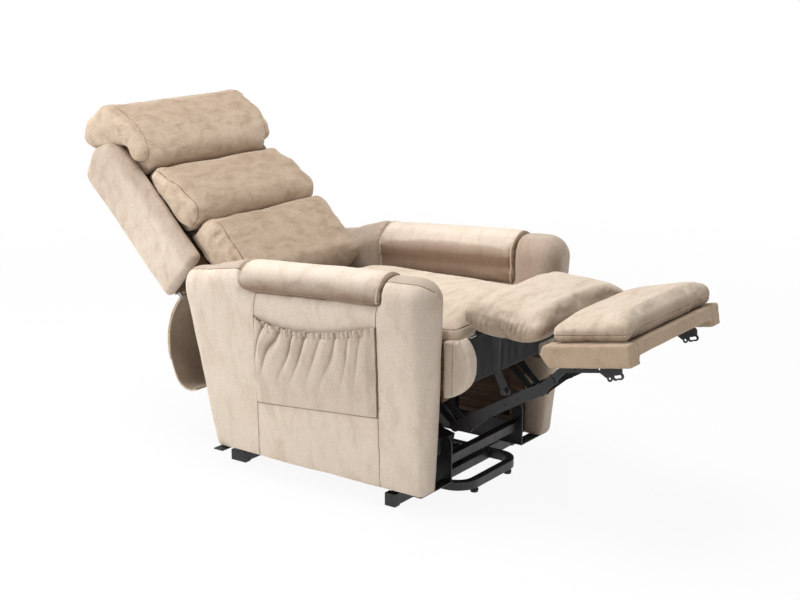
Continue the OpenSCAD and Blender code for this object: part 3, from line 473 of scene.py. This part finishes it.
def seam(bm, at, across, depth=2.6, width=4.5, where=None):
    """Sews a seam where a plane cuts the cover: a narrow groove, depth and width in millimetres.
    It is cut at both edges, at both sides of the stitch and last at the stitch itself."""
    across = Vector(across).normalized()
    shade = shade_of(bm)
    for offset in (-width, width, -1.5, 1.5, 0):
        faces = [f for f in bm.faces if where is None or where(f.calc_center_median())]
        geom = list({v for f in faces for v in f.verts}) + list({e for f in faces for e in f.edges}) + faces
        level = Vector(at) + across * offset / 1000
        cut = bmesh.ops.bisect_plane(bm, geom=geom, dist=0.0001, plane_co=level, plane_no=across)
        line = [g for g in cut["geom_cut"] if isinstance(g, bmesh.types.BMVert)]
    bm.normal_update()
    for vert in line:
        vert.co -= vert.normal * depth / 1000
        # Painted shade: the stitch line is drawn fully dark.
        vert[shade] = 1.0


def pucker(bm, at, across, depth, reach, pitch, where=None):
    """Small gathers that run into a seam and die out within reach; millimetres."""
    across = Vector(across).normalized()
    bm.normal_update()
    for vert in bm.verts:
        off = (vert.co - Vector(at)).dot(across)
        fade = math.exp(-((off * 1000 / reach) ** 2))
        if fade < 0.03 or (where and not where(vert.co)):
            continue
        along = (vert.co - across * off * 0.75) * 1000 / pitch
        vert.co += vert.normal * noise.noise(along) * fade * depth / 1000


def ripple(bm, depth, size, seed):
    """Slow unevenness of padding under a cover; millimetres."""
    bm.normal_update()
    for vert in bm.verts:
        vert.co += vert.normal * noise.noise(vert.co * 1000 / size + Vector((seed, 0, 0))) * depth / 1000


def round_off(piece):
    """One level of subdivision, so that a cover's surface is smooth."""
    smooth = piece.modifiers.new("soft_surface", "SUBSURF")
    smooth.levels = smooth.render_levels = 1


# Rubbed front to back by whoever sits down: long marks in a middle tone. The velour of the arms
# is hardly touched, so its marks are faint; it is drawn paler as painted light, for fully lit outer panels.
velour_lengthways = velour("velour_brushed_lengthways", (12, 30, 18), 0.8, "#e6d9c9", "#dacab7", "#b5a08b")
velour_outside = velour("velour_outside", (14, 22, 10), 0.5, "#ebe1d5", "#e1d4c5", "#bba48e")
front, rear = -392, 158
sides = [(front, 482, 24), (rear, 480, 24), (front + 4, 491, 14), (rear - 2, 491, 14)]
edges = [(front + 6, 484, 14), (rear - 6, 482, 14)]
crown = [(front + 26, 506, 32), (rear + 2, 502, 30)]
shoulders = [(y, z - 10, radius) for y, z, radius in crown]
bm = bmesh.new()
wrapped(bm, mirrored([(238, sides), (253, edges), (150, shoulders), (50, crown)]))
seat = piece_from(bm, "seat_foam_cover", velour_lengthways)
skin(seat, 7)
stuff(seat, 7)
bm = rework(seat)
ease(bm, 2)
ripple(bm, 2.0, 110, 3)
seam(bm, point(0, 0, 500), (0, 0, 1))
done(bm, seat)
round_off(seat)
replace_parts(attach(seat, "chassis"), "seat_cushion")


# ---- Padded ends of the seat rails ----
# Foam round the front end of each seat rail under a velour cover, sewn with one upright
# seam where the end panel meets the side.
def copied(node, keep=None):
    """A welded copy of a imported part's mesh, or of the half that keep picks."""
    bm = bmesh.new()
    bm.from_mesh(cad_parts[node].data)
    bmesh.ops.remove_doubles(bm, verts=bm.verts, dist=0.00002)
    if keep:
        gone = [v for v in bm.verts if not keep(v.co)]
        bmesh.ops.delete(bm, geom=gone, context="VERTS")
    return bm


for side, word in ((-1, "right"), (1, "left")):
    bm = copied("seat_front_pads", lambda co: co.x * side > 0)
    # The ends take the arms' paler velour, as painted light: they lie in shade under the leg pad.
    end = piece_from(bm, word + "_rail_end_pad", velour_outside)
    skin(end, 4)
    bm = rework(end)
    ease(bm, 7)
    ripple(bm, 1.6, 70, side)
    seam(bm, point(0, -412, 400), (0, 1, 0), 2.2, 4)
    done(bm, end)
    round_off(end)
    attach(end, "chassis")
    if side > 0:
        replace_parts(end, "seat_front_pads")


# ---- Arms ----
# Timber and board arms padded all over and covered in velour: an outer panel in three parts
# joined by upright seams, a narrow top panel, and a front facing. The pad on top draws the cover
# in below its edge, and the padding stands fullest at the rear top corner.
crown_line = Vector((0, -1, 0.0735))
outer_from, padding_from, blend_over = 0.333, 0.29, 0.03
corner_y, corner_z, corner_reach, corner_pull = 0.418, 0.552, 0.095, 0.024
hump_y, hump_reach, hump_rise = 0.32, 0.14, 0.016
# Millimetres: the pad's front and rear ends, the height of its edge at edge_y, and how far below
# the edge the cover is drawn in. Then each upright seam: (y, z, slope, top).
pad_front, pad_rear, edge_y, edge_z, edge_slope, drawn_reach, drawn_in = -274, 217, 179, 548, 0.0569, 46, 7.5
upright_seams = ((179, 226, 0.0736, 548), (-243, 262, 0.0431, 572))
for side, word in ((-1, "right"), (1, "left")):
    bm = copied(word + "_arm_cover")
    arm = piece_from(bm, word + "_arm", velour_outside)
    skin(arm, 8)
    bm = rework(arm)
    outer = lambda co: co.x * side > outer_from
    ease(bm, 5)
    for vert in bm.verts:
        padded = clamped((vert.co.x * side - padding_from) / blend_over)
        off = math.hypot(vert.co.y - corner_y, vert.co.z - corner_z)
        if off < corner_reach:
            vert.co += Vector((0, 0.6, 0.8)) * corner_pull * (1 - (off / corner_reach) ** 2) ** 2 * padded
        rise = max(0, 1 - abs(vert.co.y - hump_y) / hump_reach) * clamped((vert.co.z - 0.5) / 0.06)
        vert.co.z += hump_rise * rise**0.7 * padded
    ripple(bm, 2.6, 150, side * 4)
    ripple(bm, 1.0, 45, side * 9)
    for vert in bm.verts:
        y = vert.co.y * 1000
        below = edge_z + edge_slope * (edge_y - y) - vert.co.z * 1000
        if outer(vert.co) and -12 < below < drawn_reach and pad_front < y < pad_rear:
            fade = min(1, (y - pad_front) / 16, (pad_rear - y) / 16) * (1 - max(0, below) / drawn_reach) ** 2
            vert.co.x -= side * drawn_in / 1000 * fade
    shade = shade_of(bm)
    for y, z, slope, high in upright_seams:
        at, across = point(0, y, z), (0, 1, slope)
        seam(bm, at, across, 2.8, 5, lambda co: outer(co) and co.z * 1000 < high)
        pucker(bm, at, across, 1.6, 26, 30, outer)
    top_at = point(side * 368, -354, 646)
    top_across = Vector((side * 0.74, 0.045, 0.67)).cross(crown_line)
    bare = lambda co: co.x * side > 0.334 and not -0.27 < co.y < 0.21 and co.z > 0.5
    seam(bm, top_at, top_across, 2.6, 5, bare)
    facing = lambda co: co.x * side < padding_from and co.z < 0.6
    seam(bm, point(0, -392, 300), (0, 1, 0.06), 2.2, 5, facing)
    bm.normal_update()
    # Painted shade: the inner side, the narrow top panel and the upper front of the outer panel are drawn
    # darker.
    for vert in bm.verts:
        inner_side = 0.5 * clamped((0.1 - vert.normal.x * side) / 0.6)
        on_top = vert.co.z > 0.5 and (vert.co - top_at).dot(top_across) * side < 0
        front = 0.26 * (clamped((-0.25 - vert.co.y) / 0.2) * clamped((vert.co.z - 0.3) / 0.3))
        vert[shade] = max(vert[shade], inner_side, 0.42 if on_top else 0, front)
    done(bm, arm)
    round_off(arm)
    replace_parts(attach(arm, "chassis"), word + "_arm_cover")
    if side < 0:
        near_arm = arm


# ---- Arm pads ----
# A saddle of thick foam over the top of each arm in its own velour sleeve, ending in a piped
# seam in front and behind.
def section(piece, at, across):
    """The longest loop of points where a plane cuts a piece."""
    bm = rework(piece)
    geom = bm.verts[:] + bm.edges[:] + bm.faces[:]
    cut = bmesh.ops.bisect_plane(bm, geom=geom, dist=1e-6, plane_co=at, plane_no=across)
    edges = dict.fromkeys(g for g in cut["geom_cut"] if isinstance(g, bmesh.types.BMEdge))
    loops = []
    while edges:
        line = list(edges.popitem()[0].verts)
        while True:
            step = next((e for e in line[-1].link_edges if e in edges), None)
            if step is None:
                break
            del edges[step]
            line.append(step.other_vert(line[-1]))
        loops.append([v.co.copy() for v in line])
    bm.free()
    return sorted(loops, key=len)[-1]


def welt(name, line, radius, material):
    """A fabric-covered piping round a closed line of points, radius in millimetres."""
    curve = bpy.data.curves.new(name, "CURVE")
    curve.dimensions = "3D"
    curve.bevel_depth = radius / 1000
    curve.bevel_resolution = 3
    spline = curve.splines.new("POLY")
    spline.points.add(len(line) - 1)
    for target, co in zip(spline.points, line):
        target.co = (*co, 1)
    spline.use_cyclic_u = True
    piping = bpy.data.objects.new(name, curve)
    scene.collection.objects.link(piping)
    mesh = bpy.data.meshes.new_from_object(piping.evaluated_get(bpy.context.evaluated_depsgraph_get()))
    bpy.data.objects.remove(piping)
    mesh.materials.clear()
    mesh.materials.append(material)
    mesh.shade_smooth()
    piece = bpy.data.objects.new(name, mesh)
    scene.collection.objects.link(piece)
    return piece


# The piping's velour is cut across the pile and drawn tight: short even marks, a little darker.
velour_welt = velour("velour_piping", (40, 40, 40), 0.5, "#e0d1c0", "#cfbca7", "#aa917a")
pinch, pinch_reach, piping_radius = 4.6, 26, 2.7
for side, word in ((-1, "right"), (1, "left")):
    bm = copied("arm_top_pads", lambda co: co.x * side > 0)
    pad = piece_from(bm, word + "_arm_pad", velour_outside)
    skin(pad, 5)
    bm = rework(pad)
    ease(bm, 5)
    ripple(bm, 2.2, 90, side * 5)
    done(bm, pad)
    stuff(pad, 3)
    bm = rework(pad)
    low, high = min(v.co.y for v in bm.verts), max(v.co.y for v in bm.verts)
    bm.normal_update()
    for vert in bm.verts:
        near = min(vert.co.y - low, high - vert.co.y) * 1000
        if near < pinch_reach:
            outwards = Vector((vert.normal.x, 0, vert.normal.z))
            vert.co -= outwards * (pinch / 1000) * (1 - near / pinch_reach) ** 2
    for y in (-264, 206):
        pucker(bm, point(0, y, 600), (0, 1, 0), 1.8, 22, 16)
    # Painted shade on the pad's sides, which turn away from above.
    paint_shade_turned_away(bm, 0.84)
    done(bm, pad)
    ends = []
    for label, y in (("front", -262), ("rear", 205)):
        ring = section(pad, point(0, y, 600), (0, 1, 0))
        ends.append(welt(word + "_arm_" + label + "_piping", ring, piping_radius, velour_welt))
    round_off(pad)
    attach(pad, "chassis")
    for piping in ends:
        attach(piping, "chassis")
    if side > 0:
        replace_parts(pad, "arm_top_pads")


# ---- Side pocket ----
# A velour pouch sewn flat to the outer face of one arm along its sides and bottom; elastic
# in the hem gathers the mouth, so the cloth falls in folds that fade towards the bottom.
# Millimetres: its corners on the arm as (y, z), the sag of its mouth, the height of a fold, and
# the least and most that it stands off the arm. Then the number of folds and of hem gathers.
low_rear, low_front, top_rear, top_front = (179, 226), (-243, 262), (162, 484), (-254, 517)
mouth_sag, fold_height, least_off, most_off = 31, 7.2, 1.7, 20.5
folds, hem_gathers = 8.6, 29
bm = rework(near_arm)
arm_face = BVHTree.FromBMesh(bm)
bm.free()
bm = bmesh.new()
bmesh.ops.create_grid(bm, x_segments=270, y_segments=130, size=0.5)
shade = shade_of(bm)
for vert in bm.verts:
    along, up = vert.co.x + 0.5, vert.co.y + 0.5
    sag = -mouth_sag * math.sin(math.pi * clamped(along) ** 0.85) * up**2
    low = [a + (b - a) * along for a, b in zip(low_rear, low_front)]
    top = [a + (b - a) * along for a, b in zip(top_rear, top_front)]
    y, z = (a + (b - a) * up for a, b in zip(low, top))
    z += sag
    wander = noise.noise(Vector((along * 5, up * 1.5, 4)))
    turn = along * folds + (1 - up) * 2.1 * (1 - 0.55 * along) + wander * 0.5
    strong = 0.72 + 0.28 * math.cos(math.pi * along)
    strong *= 0.9 + 0.5 * noise.noise(Vector((round(turn) * 3.7, 2, 0)))
    fold = (2 * abs(math.sin(math.pi * turn)) ** 0.9 - 1.2) * clamped((up - 0.2) / 0.5) ** 1.2
    ruffle = math.sin(along * 2 * math.pi * hem_gathers + 2.4 * math.sin(along * 17))
    ruffle *= max(0, (up - 0.86) / 0.14)
    neck = math.exp(-(((up - 0.925) / 0.02) ** 2))
    edge = min(1, along * 16, (1 - along) * 16)
    belly = 9 * math.sin(math.pi * along) ** 0.6 * min(1, 0.55 + up) * (1 - 0.45 * up**6)
    loose = 5.5 + 0.8 * belly + fold * fold_height * strong + ruffle * 2.8 - 2.8 * neck
    out = max(least_off, min(2.6 + edge * min(1, up * 26) * loose, most_off))
    y += fold * 3 * strong * edge
    face = arm_face.ray_cast(point(-600, y, z), (1, 0, 0))[0].x * 1000
    vert.co = point(face - out, y, z + ruffle * 0.9 * (up > 0.99))
    # Painted shade in the sewn edges, the fold valleys and the hem gathers; the whole pouch is also drawn a
    # little darker.
    sewn_down = along < 0.006 or along > 0.994 or up < 0.01
    valley = max(0, -0.55 * fold * strong) + 0.3 * max(0, -ruffle)
    vert[shade] = 0.9 if sewn_down else 0.16 + min(0.5, valley)
pocket = piece_from(bm, "arm_pocket", velour_outside)
thick = pocket.modifiers.new("pocket_cloth", "SOLIDIFY")
thick.thickness = 0.0022
thick.offset = 0
settle(pocket)
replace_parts(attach(pocket, "chassis"), "side_pocket")


# ---- Leg-rest linkage ----
# Riveted flat steel links and their pins in black powder coat, a plated hinge rod and push rod,
# the motor in its moulded housing, and the pad's board under black non-woven cloth.
dress(
    black_steel,
    "leg_mechanism_plates",
    "leg_drive_links",
    "leg_guide_links",
    "leg_long_links",
    "pad_struts",
    "foot_bracket_arms",
    "leg_mechanism_pins",
    "leg_link_pins",
)
dress(zinc, "leg_pad_hinge_rod", "leg_motor_rod")
dress(black_plastic, "leg_motor")
dress(black_cloth, "leg_pad_board")


# ---- Leg pad ----
# Soft pad in a velour cover that fills the gap between seat and foot board; elastic gathers
# the cover along the lower edge of each side, in gathers so many millimetres apart and high.
rear, front = -438, -676
gather_front, gather_rear, gather_z, gather_band = -640, -425, 526, 32
gather_pitch, gather_height = 6.6, 4
corners = [(rear - 1, 544, 24), (rear - 36, 544, 22), (rear - 28, 513, 8)]
corners += [(front + 34, 532, 22), (front + 26, 524, 8), (front + 70, 512, 8)]
edges = [(rear - 5, 540, 16), (rear - 38, 530, 14), (front + 40, 528, 14)]
crown = [(rear - 2, 558, 23), (rear - 46, 552, 28), (front + 58, 546, 28)]
bm = bmesh.new()
wrapped(bm, mirrored([(226, corners), (242, edges), (110, crown)]))
leg_pad = piece_from(bm, "leg_pad_cover", velour_lengthways)
skin(leg_pad, 5)
stuff(leg_pad, 12)
bm = rework(leg_pad)
ease(bm, 2)
ripple(bm, 2.2, 80, 6)
shade = shade_of(bm)
bm.normal_update()
for vert in bm.verts:
    y, z = vert.co.y * 1000, vert.co.z * 1000
    if abs(vert.co.x) > 0.18 and gather_front < y < gather_rear:
        band = min(1, (y - gather_front) / 30, (gather_rear - y) / 12)
        band *= max(0, 1 - abs(z - gather_z) / gather_band)
        gather = math.sin(y / gather_pitch * math.pi + 1.6 * math.sin(y / 17) + 0.12 * (z - 520))
        gather += 0.5 * noise.noise(Vector((y / 5, z / 20, 1)))
        vert.co += vert.normal * gather * gather_height / 1000 * band
        # Painted shade in the gathers' valleys.
        vert[shade] = 0.75 * band * max(0, -gather)
# Painted shade on the sides, which turn away from above.
paint_shade_turned_away(bm, 0.5)
done(bm, leg_pad)
round_off(leg_pad)
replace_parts(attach(leg_pad, "leg_pad"), "leg_pad")


# ---- Foot board ----
# Board with two side cheeks, foam-edged and covered tightly in velour, with a stitched seam
# near each front corner. foot_place is where it lies: tilted, with its hinge as origin.
foot_place = Matrix.Translation(point(0, -680, 410)) @ Matrix.Rotation(math.radians(-9.7), 4, "X")
foot_inverse = foot_place.inverted()
# The velour over the board: browner and darker than the other velour.
velour_cheek = velour("velour_cheek", (16, 20, 20), 0.6, "#cdb9a3", "#bda78f", "#9c846d")
bm = copied("foot_board_cover")
board = piece_from(bm, "foot_board_velour", velour_cheek)
skin(board, 3.5)
bm = rework(board)
ease(bm, 3)
ripple(bm, 0.9, 60, 2)
for x in (-214, 214):
    seam(bm, point(x, 0, 0), (1, 0, 0), 1.8, 3, lambda co: (foot_inverse @ co).y < -0.238)
done(bm, board)
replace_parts(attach(board, "footrest"), "foot_board_cover")


# ---- Foot pillow ----
# Fibre-filled pillow on the foot board in a velour cover, whose upper and lower halves are
# gathered into one seam all round.
corners = [(-227, 137, 19), (-226, 114, 14), (-42, 121, 19), (-44, 112, 12)]
edges = [(-230, 127, 12), (-229, 113, 11), (-48, 115, 13)]
crown = [(-222, 142, 19), (-64, 134, 20)]
bm = bmesh.new()
wrapped(bm, mirrored([(228, corners), (243, edges), (110, crown)]), foot_place)
foot_pillow = piece_from(bm, "foot_pillow_cover", velour_lengthways)
skin(foot_pillow, 5)
stuff(foot_pillow, 11)
bm = rework(foot_pillow)
ease(bm, 2)
halfway, board_up = foot_place @ point(0, 0, 118), foot_place.to_3x3() @ Vector((0, 0, 1))
seam(bm, halfway, board_up, 3.0, 3.5)
pucker(bm, halfway, board_up, 1.6, 14, 22)
ripple(bm, 1.8, 75, 5)
# Painted shade on the sides, which turn away from above.
paint_shade_turned_away(bm, 0.45)
done(bm, foot_pillow)
round_off(foot_pillow)
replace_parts(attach(foot_pillow, "footrest"), "foot_pillow")


# ---- Back wings ----
# Padded wings in velour at both sides of a pine frame that turns on a black torque tube, pushed
# by a motor; a seam runs down each front edge. back_place is where the back lies: leaning, with
# its hinge as origin.
dress(black_steel, "back_torque_tube")
dress(zinc, "back_motor_rod")
dress(black_plastic, "back_motor")
back_place = Matrix.Translation(point(0, 282, 420)) @ Matrix.Rotation(math.radians(-44.5), 4, "X")
back_inverse = back_place.inverted()
# The palest velour, with narrow marks; its paleness is painted light, for the brightly lit wings.
velour_wing = velour("velour_wing", (24, 34, 20), 0.65, "#f0e6db", "#e2d3c3", "#bba28b")
outline = [(20, 256, 19), (21, 590, 19), (52, 668, 40), (98, 684, 45), (153, 674, 35), (172, 243, 15)]
edges = ((261, 9), (268, 1), (285, 0), (294, 6), (299, 14))
for side, word in ((-1, "right"), (1, "left")):
    bm = bmesh.new()
    wrapped(bm, [(side * x, [(y, z, r - less) for y, z, r in outline]) for x, less in edges], back_place)
    wing = piece_from(bm, word + "_back_wing", velour_wing)
    skin(wing, 4.6)
    stuff(wing, 2)
    bm = rework(wing)
    ease(bm, 3)
    ripple(bm, 2.0, 120, side * 3)
    ripple(bm, 0.8, 40, side * 5)
    seam(bm, point(side * 267, 0, 0), (1, 0, 0), 2.0, 3.5, lambda co: (back_inverse @ co).y < 0.1)
    shade = shade_of(bm)
    # Painted shade: the wing is drawn darker towards its top and along its rounded front edge.
    for vert in bm.verts:
        spot = back_inverse @ vert.co
        towards_top, on_front = clamped((spot.z - 0.4) / 0.28), clamped((0.055 - spot.y) / 0.04)
        vert[shade] = max(vert[shade], 0.26 * towards_top + 0.3 * on_front)
    done(bm, wing)
    round_off(wing)
    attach(wing, "back")
    if side > 0:
        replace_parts(wing, "back_bolsters")


# ---- Outside back ----
# Flat padded panel in velour over the rear of the back frame, between the wings. Above bend_up
# it rolls forward over the top rail, through an arc of 70 degrees, to meet the head roll.
bend_up, bend_radius, bend_angle = 0.64, 0.035, math.radians(70)
arc_start, stretch = 0.034, 147 / 60
outer_face, arc_centre = 0.186, 0.151
bm = copied("back_rear_panel")
panel = piece_from(bm, "outside_back", velour_wing)
skin(panel, 3.9)
bm = rework(panel)
ease(bm, 3)
for vert in bm.verts:
    vert.co.x *= 259 / 295
    spot = back_inverse @ vert.co
    if spot.z > bend_up:
        run, proud = (spot.z - bend_up) * stretch - arc_start, spot.y - outer_face
        turn = min(bend_angle, max(0, run / bend_radius))
        outwards = Vector((0, math.cos(turn), math.sin(turn)))
        onwards = Vector((0, -math.sin(turn), math.cos(turn)))
        straight = min(0, run) + max(0, run - bend_angle * bend_radius)
        centre = Vector((spot.x, arc_centre, bend_up + arc_start))
        vert.co = back_place @ (centre + outwards * (bend_radius + proud) + onwards * straight)
done(bm, panel)
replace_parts(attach(panel, "back"), "back_rear_panel")


# ---- Back rolls ----
# Three fibre-filled rolls in velour that hang down the front of the back, one over the other.
# A seam near each end gathers the cover, and the head roll lies over the top of the back.
# Handled and leaned on: strong short marks; the darker tone is painted shade, for rolls that face away from the
# lamps.
velour_roll = velour("velour_roll", (16, 30, 30), 0.9, "#e0d0bd", "#cfbca6", "#aa927c")
# Each roll: half width and distance of its end seams from the middle, its outline in hoops (y, z,
# radius) between the wings, and the hoops of the part that lies in front of or over them.
rolls = {
    "head": (
        (298, 262),
        [(-15, 593, 42), (-21, 669, 48), (16, 561, 9), (4, 747, 51), (61, 761, 43)],
        [(-34, 604, 28), (-38, 669, 31), (2, 748, 50), (60, 761, 42), (82, 760, 35)],
    ),
    "middle": (
        (280, 263),
        [(-38, 372, 52), (-30, 440, 47), (-9, 506, 41), (14, 338, 9), (14, 546, 9)],
        [(-43, 369, 46), (-38, 440, 38), (-20, 514, 26)],
    ),
    "lumbar": (
        (262, 240),
        [(-42, 122, 56), (-47, 195, 55), (-45, 268, 54), (14, 78, 9), (14, 314, 9)],
        [(-42, 122, 55), (-47, 195, 54), (-45, 268, 53)],
    ),
}
least_hoop = 3
for word, ((half, seam_x), inside, proud) in rolls.items():
    # The stations towards each end: (x, how far back, how much smaller). The head roll is bent
    # over the top, so its outline is wrapped in two parts.
    between = [(238, 0, 0), (min(half - 4, 254), 0, 0 if word != "lumbar" else 4)]
    over = [(half - 60, 0, 0), (half - 16, 0, 0), (half - 6, 2, 7), (half - 1, 5, 18)]
    bm = bmesh.new()
    for hoops, ends, bent_at in ((inside, between, 3), (proud, over, 2)):
        for part in [hoops[:bent_at], hoops[1:]] if word == "head" else [hoops]:
            stations = []
            for x, set_back, less in ends:
                stations.append((x, [(y + set_back, z, max(least_hoop, r - less)) for y, z, r in part]))
            wrapped(bm, mirrored(stations), back_place)
    roll = piece_from(bm, word + "_roll", velour_roll)
    skin(roll, 6)
    stuff(roll, 6)
    bm = rework(roll)
    ease(bm, 6)
    ripple(bm, 2.6, 130, len(word))
    ripple(bm, 0.7, 45, len(word) + 3)
    for side in (-1, 1):
        at = point(side * seam_x, 0, 0)
        seam(bm, at, (1, 0, 0), 3.4, 3.5)
        pucker(bm, at, (1, 0, 0), 3.4, 34, 19)
    shade = shade_of(bm)
    bm.normal_update()
    # Painted shade: the up-facing tops of each roll are drawn darker.
    for vert in bm.verts:
        vert[shade] = max(vert[shade], 0.42 * clamped((vert.normal.z - 0.4) / 0.5))
    done(bm, roll)
    round_off(roll)
    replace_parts(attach(roll, "back"), word + "_pillow")


# ---- Rear skirt ----
# Lined velour flap hung on a rod below the back; it bulges out behind, curls in at its lower
# edge, and is bound with a corded hem at both sides. The lining is a darker brown cloth.
dress(zinc, "skirt_rod")
# Brushed lining cloth, browner than the velour and with long upright marks.
lining = velour("brown_lining", (8, 30, 6), 0.6, "#d6c4b1", "#b9a692", "#94806e")
bm = copied("rear_skirt")
skirt = piece_from(bm, "hanging_skirt", velour_wing, lining)
skin(skirt, 3.5)
bm = rework(skirt)
ease(bm, 2)
ripple(bm, 1.6, 90, 2)
bm.normal_update()
# The inner side is lined: it faces the middle of the bulge, or of the curl below it.
bend, curl = point(0, 407.7, 299.5), point(0, 548, 218.5)
for face in bm.faces:
    spot = face.calc_center_median()
    below = math.atan2(spot.z - bend.z, spot.y - bend.y) < math.radians(-30)
    out = spot - (curl if below else bend)
    out.x = 0
    lined = face.normal.dot(out.normalized()) < 0.2 and abs(face.normal.x) < 0.8
    face.material_index = 1 if lined else 0
done(bm, skirt)
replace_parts(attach(skirt, "rear_skirt"), "rear_skirt")
for side, word in ((-1, "right"), (1, "left")):
    hem = welt(word + "_skirt_hem", section(skirt, point(side * 242, 0, 0), (1, 0, 0)), 2.4, velour_welt)
    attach(hem, "rear_skirt")
